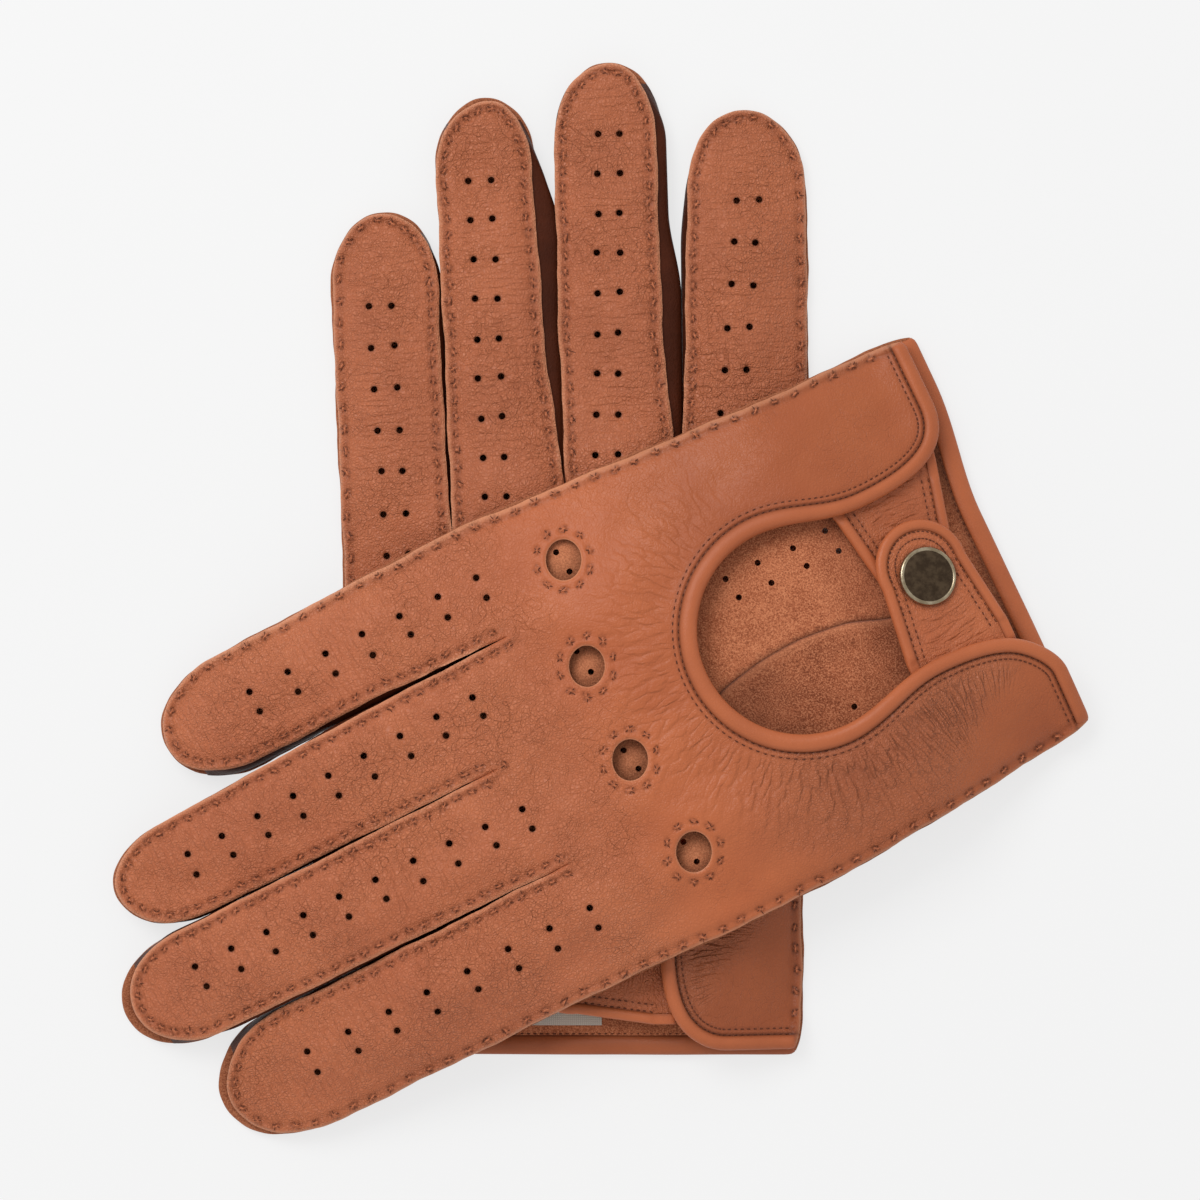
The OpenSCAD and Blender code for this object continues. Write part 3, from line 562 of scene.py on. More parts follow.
def facingOut(part):  # turns the faces round if the volume they close comes out negative
    v = part["verts"] - part["verts"].mean(0)
    volume = 0.0
    for f, m in part["faces"]:
        for k in range(1, f.shape[1] - 1):
            volume += (v[f[:, 0]] * np.cross(v[f[:, k]], v[f[:, k + 1]])).sum()
    return part if volume > 0 else dict(part, faces=[(f[:, ::-1], m) for f, m in part["faces"]])


def joined(parts):
    names = sorted({n for p in parts for n in p["attributes"]})
    start = np.cumsum([0] + [len(p["verts"]) for p in parts])
    value = lambda p, n: p["attributes"].get(n, np.zeros(len(p["verts"])))
    return {"verts": np.concatenate([p["verts"] for p in parts]),
            "faces": [(f + s, m) for p, s in zip(parts, start) for f, m in p["faces"]],
            "attributes": {n: np.concatenate([value(p, n) for p in parts]) for n in names},
            "sharp": np.concatenate([p["sharp"] + s for p, s in zip(parts, start)])}


def placed(name, data):  # a new object in the scene
    piece = bpy.data.objects.new(name, data)
    bpy.context.scene.collection.objects.link(piece)
    return piece


def makePiece(name, parts, materials):
    whole = joined([facingOut(p) for p in parts if len(p["verts"])])
    mesh = bpy.data.meshes.new(name)
    verts = whole["verts"] * mm
    mesh.vertices.add(len(verts))
    mesh.vertices.foreach_set("co", verts.astype(np.float32).ravel())
    loops = np.concatenate([f.ravel() for f, m in whole["faces"]])
    sizes = np.concatenate([np.full(len(f), f.shape[1]) for f, m in whole["faces"]])
    slots = np.concatenate([np.full(len(f), m) for f, m in whole["faces"]])
    mesh.loops.add(len(loops))
    mesh.loops.foreach_set("vertex_index", loops.astype(np.int32))
    mesh.polygons.add(len(sizes))
    mesh.polygons.foreach_set("loop_start", (np.cumsum(sizes) - sizes).astype(np.int32))
    mesh.update(calc_edges=True)
    mesh.polygons.foreach_set("material_index", slots.astype(np.int32))
    mesh.polygons.foreach_set("use_smooth", np.ones(len(sizes), bool))
    for m in materials:
        mesh.materials.append(m)
    for n, values in whole["attributes"].items():
        mesh.attributes.new(n, "FLOAT", "POINT").data.foreach_set("value", values.astype(np.float32))
    if len(whole["sharp"]):
        ends = np.empty(2 * len(mesh.edges), np.int32)
        mesh.edges.foreach_get("vertices", ends)
        ends = ends.reshape(-1, 2).astype(np.int64)
        key = lambda e: e.min(1) * len(verts) + e.max(1)
        flag = np.isin(key(ends), key(whole["sharp"].astype(np.int64)))
        mesh.attributes.new("sharp_edge", "BOOLEAN", "EDGE").data.foreach_set("value", flag)
    mesh.validate()
    return placed(name, mesh)


# finishes
def srgb(r, g, b):
    c = np.array([r, g, b]) / 255
    return tuple(float(v) for v in np.where(c <= 0.04045, c / 12.92, ((c + 0.055) / 1.055) ** 2.4)) + (1.0,)


def wire(tree, node, inputs):  # a link or a value on each socket
    for k, v in inputs.items():
        if isinstance(v, bpy.types.NodeSocket):
            tree.links.new(v, node.inputs[k])
        else:
            node.inputs[k].default_value = v
    return node


def add(tree, kind, inputs=None, **settings):  # a shader node with its settings and sockets
    node = tree.nodes.new("ShaderNode" + kind)
    for k, v in settings.items():
        setattr(node, k, v)
    return wire(tree, node, inputs or {})


def math(tree, operation, a, b=0.0):
    return add(tree, "Math", {0: a, 1: b}, operation=operation).outputs[0]


def times(tree, a, b):
    return math(tree, "MULTIPLY", a, b)


def noise(tree, vector, scale, detail, roughness=0.5):
    inputs = {"Vector": vector, "Scale": scale, "Detail": detail, "Roughness": roughness}
    return add(tree, "TexNoise", inputs).outputs["Fac"]


def bumped(tree, strength, distance, height):
    return add(tree, "Bump", {"Strength": strength, "Distance": distance, "Height": height}).outputs["Normal"]


def blendColor(tree, share, a, b):
    return add(tree, "Mix", {0: share, 6: a, 7: b}, data_type="RGBA").outputs[2]


def tint(tree, color, share, amount, to):  # a colour moved towards another
    return blendColor(tree, times(tree, share, amount), color, to)


def spread(tree, value, low, high, toLow=0.0, toHigh=1.0):
    inputs = {"Value": value, "From Min": low, "From Max": high, "To Min": toLow, "To Max": toHigh}
    return add(tree, "MapRange", inputs, interpolation_type="SMOOTHSTEP").outputs["Result"]


def newGroup(name, ins, outs):
    tree = bpy.data.node_groups.new(name, "ShaderNodeTree")
    for n, kind, value in ins:
        socket = tree.interface.new_socket(n, in_out="INPUT", socket_type=kind)
        if value is not None:
            socket.default_value = value
    for n in outs:
        tree.interface.new_socket(n, in_out="OUTPUT", socket_type="NodeSocketFloat")
    return tree, tree.nodes.new("NodeGroupInput"), tree.nodes.new("NodeGroupOutput")


def buildGrain():  # pebbled hide: small domes in patches plus broad ones, less fine crease lines; slow changes of tone
    tree, i, o = newGroup("hideGrain", [("Vector", "NodeSocketVector", None), ("Pebble", "NodeSocketFloat", 900.0),
                                        ("Crumple", "NodeSocketFloat", 0.5)], ["Height", "Crease", "Tone"])
    v, pebble = i.outputs["Vector"], i.outputs["Pebble"]
    warp = add(tree, "TexNoise", {"Vector": v, "Scale": 300.0, "Detail": 2.0}).outputs["Color"]
    shift = add(tree, "VectorMath", {0: warp, 1: (0.5, 0.5, 0.5)}, operation="SUBTRACT").outputs[0]
    shift = add(tree, "VectorMath", {0: shift, "Scale": 0.002}, operation="SCALE").outputs[0]
    bent = add(tree, "VectorMath", {0: v, 1: shift}, operation="ADD").outputs[0]
    cell = lambda scale, feature: add(tree, "TexVoronoi", {"Vector": bent, "Scale": scale}, feature=feature)
    small, broad = cell(pebble, "DISTANCE_TO_EDGE"), cell(times(tree, pebble, 0.55), "F1")
    small, broad = small.outputs["Distance"], broad.outputs["Distance"]
    patch = noise(tree, v, 60.0, 3.0)
    lines = []
    for scale, width in ((230.0, 0.02), (430.0, 0.028)):  # creases: where a slow noise crosses its middle
        off = math(tree, "ABSOLUTE", math(tree, "SUBTRACT", noise(tree, v, scale, 0.0), 0.5))
        lines.append(spread(tree, off, width, 0.0))
    line = times(tree, math(tree, "ADD", *lines), spread(tree, patch, 0.36, 0.66))
    line = times(tree, line, i.outputs["Crumple"])
    share = spread(tree, patch, 0.3, 0.7, 0.3, 0.5)
    domes = times(tree, spread(tree, small, 0.0, 0.3), share)
    height = math(tree, "ADD", domes, times(tree, spread(tree, broad, 0.75, 0.1), 0.3))
    crease = times(tree, spread(tree, small, 0.16, 0.0), share)
    # Crease is the mask where the leather material paints shade into the grain's creases
    wire(tree, o, {"Height": math(tree, "SUBTRACT", height, times(tree, line, 0.5)),
                   "Crease": math(tree, "ADD", crease, times(tree, line, 0.25)),
                   "Tone": spread(tree, noise(tree, v, 34.0, 6.0, 0.62), 0.3, 0.7)})
    return tree


hideGrain = buildGrain()


def newMaterial(name):
    m = bpy.data.materials.new(name)
    m.use_nodes = True
    tree = m.node_tree
    return m, tree, tree.nodes["Principled BSDF"], add(tree, "TexCoord").outputs["Object"]


def attribute(tree, name):
    return add(tree, "Attribute", attribute_name=name).outputs["Fac"]


def leather(name, spec):  # grain, painted shade in its creases, wrinkles and stitch holes and wherever the shade attribute asks, a painted sheen on coarse grain, pale cut edges, folds along or across the surface
    m, tree, bsdf, coords = newMaterial(name)
    grain = add(tree, "Group", node_tree=hideGrain)
    wire(tree, grain, {"Vector": coords, "Pebble": spec["pebble"], "Crumple": spec["crumple"]})
    tone, height, crease = (grain.outputs[n] for n in ("Tone", "Height", "Crease"))
    coarse = attribute(tree, "coarse")
    amount = spread(tree, coarse, 0.0, 1.0, spec["plain"], 1.0)
    color = blendColor(tree, tone, spec["dark"], spec["light"])
    # painted sheen: where the grain is coarse, lighter all over and most on the pebbles' tops
    color = tint(tree, color, spread(tree, height, 0.1, 0.7, 0.14, 0.28), coarse, spec["paintedSheen"])
    # painted shade in the grain's creases, more where the grain is coarse
    color = tint(tree, color, times(tree, crease, amount), spec["creaseShade"], spec["deep"])
    # wrinkles: cells drawn out along one way of the surface, low where they meet, with painted shade there
    out = times(tree, attribute(tree, "foldOut"), 0.24)
    lie = add(tree, "CombineXYZ", {"X": attribute(tree, "fold"), "Y": out}).outputs[0]
    swirl = times(tree, noise(tree, lie, 0.35, 2.0), 2.6)
    lie = add(tree, "VectorMath", {0: lie, 1: swirl}, operation="ADD").outputs[0]
    cell = add(tree, "TexVoronoi", {"Vector": lie, "Scale": 0.85}, feature="F1", voronoi_dimensions="2D")
    wave = times(tree, spread(tree, cell.outputs["Distance"], 0.25, 0.75), attribute(tree, "foldAmount"))
    color = tint(tree, color, wave, 0.12, spec["deep"])
    color = tint(tree, color, attribute(tree, "raw"), 0.75, spec["raw"])
    # painted shade from the shade attribute
    color = tint(tree, color, attribute(tree, "shade"), 0.9, spec["pit"])
    height = math(tree, "SUBTRACT", times(tree, height, amount), times(tree, wave, 1.5))
    wire(tree, bsdf, {"Base Color": color, "Normal": bumped(tree, spec["bump"], 0.00045, height),
                      "Roughness": spread(tree, tone, 0.0, 1.0, spec["rough"] + 0.06, spec["rough"] - 0.05),
                      "Specular IOR Level": spec["shine"]})
    return m


tan = {"light": srgb(188, 104, 64), "dark": srgb(177, 94, 57), "deep": srgb(104, 50, 29), "raw": srgb(214, 148, 112),
       "pit": srgb(58, 25, 13), "pebble": 1350.0, "crumple": 0.9, "creaseShade": 0.5, "plain": 0.3, "bump": 0.8,
       "rough": 0.4, "shine": 0.24, "paintedSheen": srgb(202, 136, 105)}
# a darker copy of the tan for the left glove, which lies underneath: painted shade
tanShaded = dict(tan, light=srgb(180, 98, 60), dark=srgb(166, 88, 53))
bindingTan = dict(tan, light=srgb(186, 103, 64), dark=srgb(172, 93, 57), pebble=1500.0, crumple=0.2, creaseShade=0.35,
                  bump=0.35, rough=0.4)
# the walls between the fingers: the tan darkened near black, as painted shade in the gaps
wallShadedTan = dict(tan, light=srgb(80, 37, 21), dark=srgb(58, 26, 14), shine=0.08)


def suede(name, spec):  # short nap: fine speckle over soft lighter and darker strokes
    m, tree, bsdf, coords = newMaterial(name)
    nap, stroke = noise(tree, coords, 2800.0, 3.0, 0.7), noise(tree, coords, 110.0, 4.0, 0.6)
    color = blendColor(tree, spread(tree, stroke, 0.32, 0.68), spec["dark"], spec["light"])
    color = blendColor(tree, spread(tree, nap, 0.47, 0.64, 0.0, 0.8), color, spec["tips"])
    color = blendColor(tree, spread(tree, nap, 0.5, 0.34, 0.0, 0.7), color, spec["deep"])
    pale = math(tree, "ADD", attribute(tree, "raw"), attribute(tree, "lit"))  # cut edges, and painted light under the knuckle holes
    color = tint(tree, color, pale, 0.4, spec["tips"])
    # painted shade from the shade attribute
    color = tint(tree, color, attribute(tree, "shade"), 0.9, spec["pit"])
    wire(tree, bsdf, {"Base Color": color, "Normal": bumped(tree, 0.6, 0.0003, nap),
                      "Roughness": spread(tree, stroke, 0.2, 0.8, 0.96, 0.88),
                      "Specular IOR Level": 0.15, "Sheen Weight": 0.12, "Sheen Roughness": 0.5})
    return m


def plainNoise(name, spec):  # cut edges and threads: fibres of two tones
    m, tree, bsdf, coords = newMaterial(name)
    fibre = noise(tree, coords, spec["scale"], 3.0)
    wire(tree, bsdf, {"Base Color": blendColor(tree, spread(tree, fibre, 0.35, 0.65), spec["dark"], spec["light"]),
                      "Normal": bumped(tree, spec["bump"], 0.0002, fibre),
                      "Roughness": spec["rough"], "Specular IOR Level": 0.3})
    return m


def metal(name, spec):  # antique brass: dark patina, brighter where it is rubbed
    m, tree, bsdf, coords = newMaterial(name)
    rub, speck = noise(tree, coords, 420.0, 5.0, 0.65), noise(tree, coords, 2600.0, 2.0)
    wire(tree, bsdf, {"Base Color": blendColor(tree, spread(tree, rub, 0.38, 0.66), spec["dark"], spec["light"]),
                      "Roughness": spread(tree, rub, 0.3, 0.7, spec["rough"] + 0.14, spec["rough"]),
                      "Normal": bumped(tree, 0.12, 0.0001, speck), "Metallic": 1.0})
    return m


def cloth(name, spec):  # plain weave: two crossed waves
    m, tree, bsdf, coords = newMaterial(name)
    inputs = {"Vector": coords, "Scale": 700.0, "Distortion": 0.6}
    weave = times(tree, *(add(tree, "TexWave", inputs, bands_direction=way).outputs["Fac"] for way in ("X", "Y")))
    wire(tree, bsdf, {"Base Color": blendColor(tree, weave, spec["dark"], spec["light"]),
                      "Normal": bumped(tree, 0.4, 0.0002, weave), "Roughness": 0.85})
    return m


backLeather = {"left": leather("tanBackShaded", tanShaded), "right": leather("tanBack", tan)}
bindingLeather = leather("tanBinding", bindingTan)
wallLeather = leather("tanWallsShaded", wallShadedTan)
innerSuede = suede("suedeInside", {"light": srgb(188, 111, 75), "dark": srgb(166, 92, 60), "tips": srgb(214, 140, 100),
                                   "deep": srgb(108, 54, 32), "pit": srgb(56, 26, 15)})
gussetSuede = suede("suedeGusset", {"light": srgb(170, 96, 63), "dark": srgb(142, 76, 48), "tips": srgb(206, 134, 96),
                                    "deep": srgb(92, 45, 27), "pit": srgb(56, 26, 15)})
thread = {"scale": 2500.0, "bump": 0.4, "rough": 0.7}
cutEdge = plainNoise("cutEdge", {"light": srgb(208, 150, 116), "dark": srgb(172, 108, 76),
                                 "scale": 900.0, "bump": 0.5, "rough": 0.85})
seamThread = plainNoise("seamThread", dict(thread, light=srgb(196, 116, 78), dark=srgb(150, 82, 52)))
# the binding rows' dark thread, also used for the painted shade lines under the seam stitches
rowThreadAndShade = plainNoise("rowThreadAndShade", dict(thread, light=srgb(112, 58, 36), dark=srgb(78, 38, 22)))
capField = metal("capField", {"light": srgb(94, 78, 61), "dark": srgb(68, 55, 43), "rough": 0.3})
capRim = metal("capRim", {"light": srgb(190, 176, 150), "dark": srgb(150, 134, 108), "rough": 0.24})
labelCloth = cloth("labelCloth", {"light": srgb(238, 232, 220), "dark": srgb(200, 192, 178)})
leafMaterials = {s: [backLeather[s], innerSuede, cutEdge, seamThread, rowThreadAndShade] for s in gloves}
print("finishes ready")


# backs
back = {
    "cell": 1.1, "seamClear": 4.7, "boundClear": 7.2, "seamRings": (0.4, 0.9, 1.5, 2.1, 2.8, 3.7),
    "boundRings": (0.8, 1.6, 2.2, 2.6, 3.0, 3.4, 3.7, 4.1, 4.7, 5.5, 6.5), "holeRings": (0.35, 0.8, 1.3),
    "stitchIn": 2.0, "sideIn": 1.5, "stitchPitch": 3.85, "sidePitch": 5.0, "stitch": (1.0, 0.58), "stitchThick": 0.26,
    "stitchLong": 1.7, "stitchRings": (0.5, 0.85, 1.05, 1.35, 1.9), "lineThick": 0.11, "lineTurn": 0.75,
    "knuckleY": (95.6, 99.8, 99.6, 94.0), "knuckle": (4.75, 4.1), "knuckleLean": -25.0, "knuckleStitches": 10,
    "knuckleStitchOut": 2.3, "ventRound": 0.78, "ventHalf": 2.55, "splitBefore": 9.0, "splitPast": 2.0, "blendRun": 8.0,
    "rows": (2.6, 3.9), "rowGrow": 0.8, "rowPitch": 1.5, "rowThick": 0.17, "rowTuck": 2.0, "fingerFold": 0.4,
    # ridges as a height, a place and a width, edgings as a height and a run, steps as a start and a run
    "welt": (0.3, 0.9, 0.6), "groove": (-0.3, 2.0, 0.9), "edging": (-0.35, 0.5),
    "rowWelt": (0.12, 3.2, 0.6), "rowBeads": 0.5,
    "rowGrooves": ((-0.34, 2.6, 0.4), (-0.2, 3.9, 0.4)), "rowShades": ((0.55, 2.6, 0.35), (0.2, 3.9, 0.3)),
    "knuckleWelt": (0.2, 0.9, 0.7), "knuckleEdging": (-0.3, 0.5), "knuckleRaw": (0.8, 0, 0.25),
    "dent": (-0.24, 1.05, 0.35), "dentMiddle": (0.1, 0, 0.6), "dentShade": (0.55, 1.05, 0.28),
    "ventDent": (-0.2, 0, 0.4), "ventShade": (0.5, 0, 0.22), "seamShade": (0.16, 1.8, 0.7),
    "handShade": ((0.27, 0.21), (90, 35)), "arcs": (0.65, 0.35, 4),
    "slit": (25, 15), "rawWide": (0.4, 0.12, 0.55), "rawSide": (10, 20), "rawCrotch": (1.6, 5),
    "flapRun": 14, "flapCoarse": 0.8, "flapCoarseTo": (20, 15), "windowFold": 0.5, "flapFold": 1.15,
    "foldFrom": (4.5, 3), "foldTo": (10, 22), "fingerFoldFrom": (9, 14), "fingerFoldEdge": (2, 4), "fingerFoldRoot": 6,
    # how far stitches, dark lines and vents stray, as spreads or as half ranges
    "stitchStray": (0.1, 0.4), "stitchSizes": (0.85, 1.15), "lineStray": (0.18, 0.25), "lineLong": (1.7, 2.7),
    "ventStray": (0.25, 0.2), "stitchSink": 0.06, "lineSink": 0.02, "rowUp": 0.04, "knuckleX": (0.7, 0.89),
    "waveSeam": (1, 8), "waveBound": (2, 9), "softRun": 6, "coarse": (92, 28),
    "flap": ((0.56, 0.1), (0.96, 0.1)), "window": ((0.3, 0.1), (0.64, 0.08)),
    # pairs of holes on a finger: place and offset of the pair at the tip, of the pair at the foot, and how many
    "vents": {"right": ((73.1, 0.5, -0.3, 1.6, 8), (85.2, 0.9, 0.8, 0.2, 10), (80.4, -1.2, 4.6, 1.8, 9),
                        (58.5, -0.1, 0.0, -1.5, 7)),
              "left": ((74.7, -1.0, 15.3, 4.1, 7), (87.3, 0.8, 12.7, 3.5, 9), (80.9, 3.0, 7.3, 3.0, 9),
                       (59.3, 1.5, 1.3, -0.1, 7))},
}


def fingerVents(glove):
    spots = []
    for f, (vTip, cTip, vFoot, cFoot, n) in zip(glove["back"], back["vents"][glove["side"]]):
        v, c = np.linspace(vTip, vFoot, n), np.linspace(cTip, cFoot, n)
        for s in (-1, 1):
            along, aside = (dice.uniform(-stray, stray, n) for stray in back["ventStray"])
            spots.append(fingerPoint(f, v + along, c + s * back["ventHalf"] + aside))
    return np.concatenate(spots)


def knuckleSpots(glove):
    shift, share = back["knuckleX"]
    return [np.array([shift + share * f["root"][0], y]) for f, y in zip(glove["back"], back["knuckleY"])]


def alongLine(line, pitch, inset):  # places at a pitch along a line, moved in from it, with their directions
    s = runLength(line)
    count = np.concatenate([[0], np.cumsum(np.diff(s) / np.broadcast_to(pitch, len(s))[1:])])
    n = int(count[-1])
    t = np.interp((np.arange(n) + 0.5) * count[-1] / n, count, s)
    normal = sideNormal(line)
    at = np.stack([np.interp(t, s, line[:, i]) for i in (0, 1)], axis=-1)
    side = unit(np.stack([np.interp(t, s, normal[:, i]) for i in (0, 1)], axis=-1))
    at = at + np.interp(t, s, np.broadcast_to(inset, len(s)))[:, None] * side
    return at, leftOf(side)


def turns(line, way):  # where a line stops going up (1) or down (-1)
    return np.flatnonzero(way * np.diff(np.sign(np.diff(line[:, 1]))) < 0)


def seamPitch(line):  # wide along the two sides of the hand, close round the fingers
    top = turns(line, 1)
    i = np.arange(len(line))
    return np.where((i < top.min()) | (i > top.max()), back["sidePitch"], back["stitchPitch"])


def slowWaves(p, seed):  # a sum of long sines in different directions
    r = np.random.default_rng(seed)
    z = np.zeros(len(p))
    for size, high in ((46, 0.28), (31, 0.2), (21, 0.15), (14, 0.09), (9, 0.05)):
        for _ in range(3):
            a = r.uniform(0, np.pi)
            z += high * np.sin((p @ [np.cos(a), np.sin(a)]) * 2 * np.pi / size + r.uniform(0, 6.28))
    return z


def splitLines(frames):  # where the leaf is divided into the hand and the finger ends
    wide = [f["half"] + back["splitPast"] for f in frames]
    return [fingerPoint(f, f["bend"] - back["splitBefore"], np.linspace(-w, w, 28)) for f, w in zip(frames, wide)]


def pieceOf(frames, p):  # 0 for the hand, 1 to 4 for the finger ends
    k = whichFinger(frames, p)
    v = np.array([fingerCoords(f, p)[0] - f["bend"] + back["splitBefore"] for f in frames])
    return np.where(v[k, np.arange(len(p))] > 0, k + 1, 0)


def threads(glove, surface, at, along, length, thick, slot, way=1):  # stitches laid on a surface, or under it
    step = 0.5
    here, ahead, beside = (place(glove, q, surface(q)) for q in (at, at + step * along, at + step * leftOf(along)))
    along3 = unit(ahead - here)
    up = np.cross(along3, beside - here)
    up *= way * np.sign(up[:, 2:])
    return stitchPart(here, along3, unit(up), length, thick, slot)


def ringsOf(line, depths, step):  # rows of points beside a line, left out where another stretch of it comes nearer
    points = []
    for d in depths:
        at, _ = alongLine(line, step, d)
        far, _ = nearest(at, line)
        points.append(at[far > 0.93 * d])
    return np.concatenate(points)


def turned(d, angle):
    c, n = np.cos(angle), np.sin(angle)
    return np.stack([d[:, 0] * c - d[:, 1] * n, d[:, 0] * n + d[:, 1] * c], axis=-1)


def oval(at, grow, n):  # a knuckle hole's edge, moved out by a distance
    return at + turned((np.array(back["knuckle"]) + grow) * ray(around(n)), np.radians(back["knuckleLean"]))


def ovalDistance(q, at):  # about how far outside the hole's edge
    e = turned(q - at, -np.radians(back["knuckleLean"]))
    share = np.linalg.norm(e / back["knuckle"], axis=1)
    return (share - 1) * np.linalg.norm(e, axis=1) / np.maximum(share, 1e-6)


def knuckleGap(q, knuckles):
    return np.min([ovalDistance(q, k) for k in knuckles], axis=0)


def pieceName(side, kind, i):
    return side + kind + ("Hand" if i == 0 else fingers[i - 1].title())


def backStitches(seam, bound, knuckles, pitch):  # places, directions and sizes: along the seam, then round the holes
    at, along = alongLine(seam, pitch, np.where(pitch == back["sidePitch"], back["sideIn"], back["stitchIn"]))
    keep = (nearest(at, seam)[0] > 0.9 * back["sideIn"]) & (nearest(at, bound)[0] > 4)
    at = at[keep] + dice.normal(0, back["stitchStray"][0], (keep.sum(), 2))
    rings = [oval(k, back["knuckleStitchOut"], back["knuckleStitches"]) for k in knuckles]
    along = np.concatenate([along[keep]] + [np.roll(r, -1, axis=0) - np.roll(r, 1, axis=0) for r in rings])
    at = np.concatenate([at] + rings)
    along = turned(unit(along), dice.normal(0, back["stitchStray"][1], len(at)))
    return at, along, np.array(back["stitch"]) * dice.uniform(*back["stitchSizes"], (len(at), 1))


def makeBack(glove):
    side, lies, frames = glove["side"], glove["lies"], glove["back"]
    seam, opening = seamLine(glove, 0), openingLine(glove)
    low = resample(np.array([seam[-1], opening[0]]), 0.8)[1:-1]
    high = resample(np.array([opening[-1], seam[0]]), 0.8)[1:-1]
    outer = np.concatenate([seam, low, opening, high])
    bound = np.concatenate([seam[-1:], low, opening, high, seam[:1]])
    boundRun = runLength(bound)[-1]
    knuckles, vents = knuckleSpots(glove), fingerVents(glove)
    pitch = seamPitch(seam)
    at, along, size = backStitches(seam, bound, knuckles, pitch)
    aside = leftOf(along)
    # the mesh: a honeycomb, with closer rows along the seam, the bound edge, the holes and the stitches
    mesh = filled(outer, back["cell"], (seam, back["seamClear"]), (bound, back["boundClear"]))
    edge, hem = ringsOf(seam, back["seamRings"], 0.8), ringsOf(bound, back["boundRings"], 0.75)
    dots = [at + r * size[:, :1] * np.cos(t) * along + r * size[:, 1:] * np.sin(t) * aside
            for r in back["stitchRings"] for t in around(10) + r]
    edge, hem, dots = (q[inside(q, [outer])] for q in (edge, hem, np.concatenate(dots + [at])))
    edge, hem = edge[nearestSpot(edge, at)[0] > 1.5], hem[nearest(hem, seam)[0] > 0.5]
    points = np.concatenate([mesh, edge, hem, dots[nearest(dots, seam)[0] > 0.25]])
    far = np.minimum(nearestSpot(points, vents)[0] - back["ventRound"], knuckleGap(points, knuckles))
    rims = [oval(k, d, 44) for k in knuckles for d in back["holeRings"]]
    rims += [circle(v, back["ventRound"] + 0.45, 10) for v in vents]
    holes = [oval(k, 0, 44) for k in knuckles] + [circle(v, back["ventRound"], 12) for v in vents]
    p, tris = triangulate([outer] + holes, splitLines(frames), np.concatenate([points[far > 0.3]] + rims))
    soft = blurredBack(glove)

    def leaf(q, dSeam, dBound):  # the lie of the leather, with slow waves
        z = mix(backBase(glove, q), sampled(soft, q), smooth(dSeam / back["softRun"]))
        return z + slowWaves(q, 5 + lies) * stepUp(dSeam, back["waveSeam"]) * stepUp(dBound, back["waveBound"])

    def relief(q, dSeam, dBound, run):  # a welt and a groove along the seam, two stitched lines along the binding
        dRow = dBound - back["rowGrow"] * windowShare(run / boundRun)
        z = ridge(dSeam, back["welt"]) + ridge(dSeam, back["groove"]) + edging(dSeam, back["edging"])
        beads = 1 + back["rowBeads"] * np.sin(2 * np.pi * run / back["rowPitch"])
        z = z + sum(ridge(dRow, r) for r in back["rowGrooves"]) + beads * ridge(dRow, back["rowWelt"])
        gap = knuckleGap(q, knuckles)
        return z + ridge(gap, back["knuckleWelt"]) + edging(gap, back["knuckleEdging"])

    def onto(q, up):  # for what lies on the leather
        dSeam, (dBound, run) = nearest(q, seam)[0], nearest(q, bound)
        return leaf(q, dSeam, dBound) + relief(q, dSeam, dBound, run) + droop(glove, q, frames) + up

    (dSeam, seamRun), (dBound, run) = nearest(p, seam), nearest(p, bound)
    plain = leaf(p, dSeam, dBound)
    # each stitch sits in a dent of its own, with painted shade in four broken arcs round it
    which = nearestSpot(p, at)[1]
    e = p - at[which]
    u, w = (e * along[which]).sum(1) / size[which, 0], (e * aside[which]).sum(1) / size[which, 1]
    reach = np.hypot(u, w)
    mean, swing, arcs = back["arcs"]
    broken = mean + swing * np.cos(arcs * np.arctan2(w, u) + 7.0 * which)
    dVent = nearestSpot(p, vents)[0] - back["ventRound"]
    dents = ridge(reach, back["dentMiddle"]) + ridge(reach, back["dent"]) + ridge(dVent, back["ventDent"])
    z = plain + relief(p, dSeam, dBound, run) + dents
    t = run / boundRun
    flap, window = (stepUp(t, back[name][0]) * stepDown(t, back[name][1]) for name in ("flap", "window"))
    flap = flap * smooth((nearest(p, high)[0] - dBound) / back["flapRun"])
    dRow = dBound - back["rowGrow"] * windowShare(t)
    # painted shade: over the hand towards the cuff, round each stitch's dent, along the seam's groove, round the vents
    # and along the binding's rows
    dark, fade = back["handShade"]
    shade = dark[lies] * stepDown(p[:, 1], fade) + broken * ridge(reach, back["dentShade"])
    shade = shade + ridge(dSeam, back["seamShade"]) + ridge(dVent, back["ventShade"])
    shade = shade + sum(ridge(dRow, r) for r in back["rowShades"])
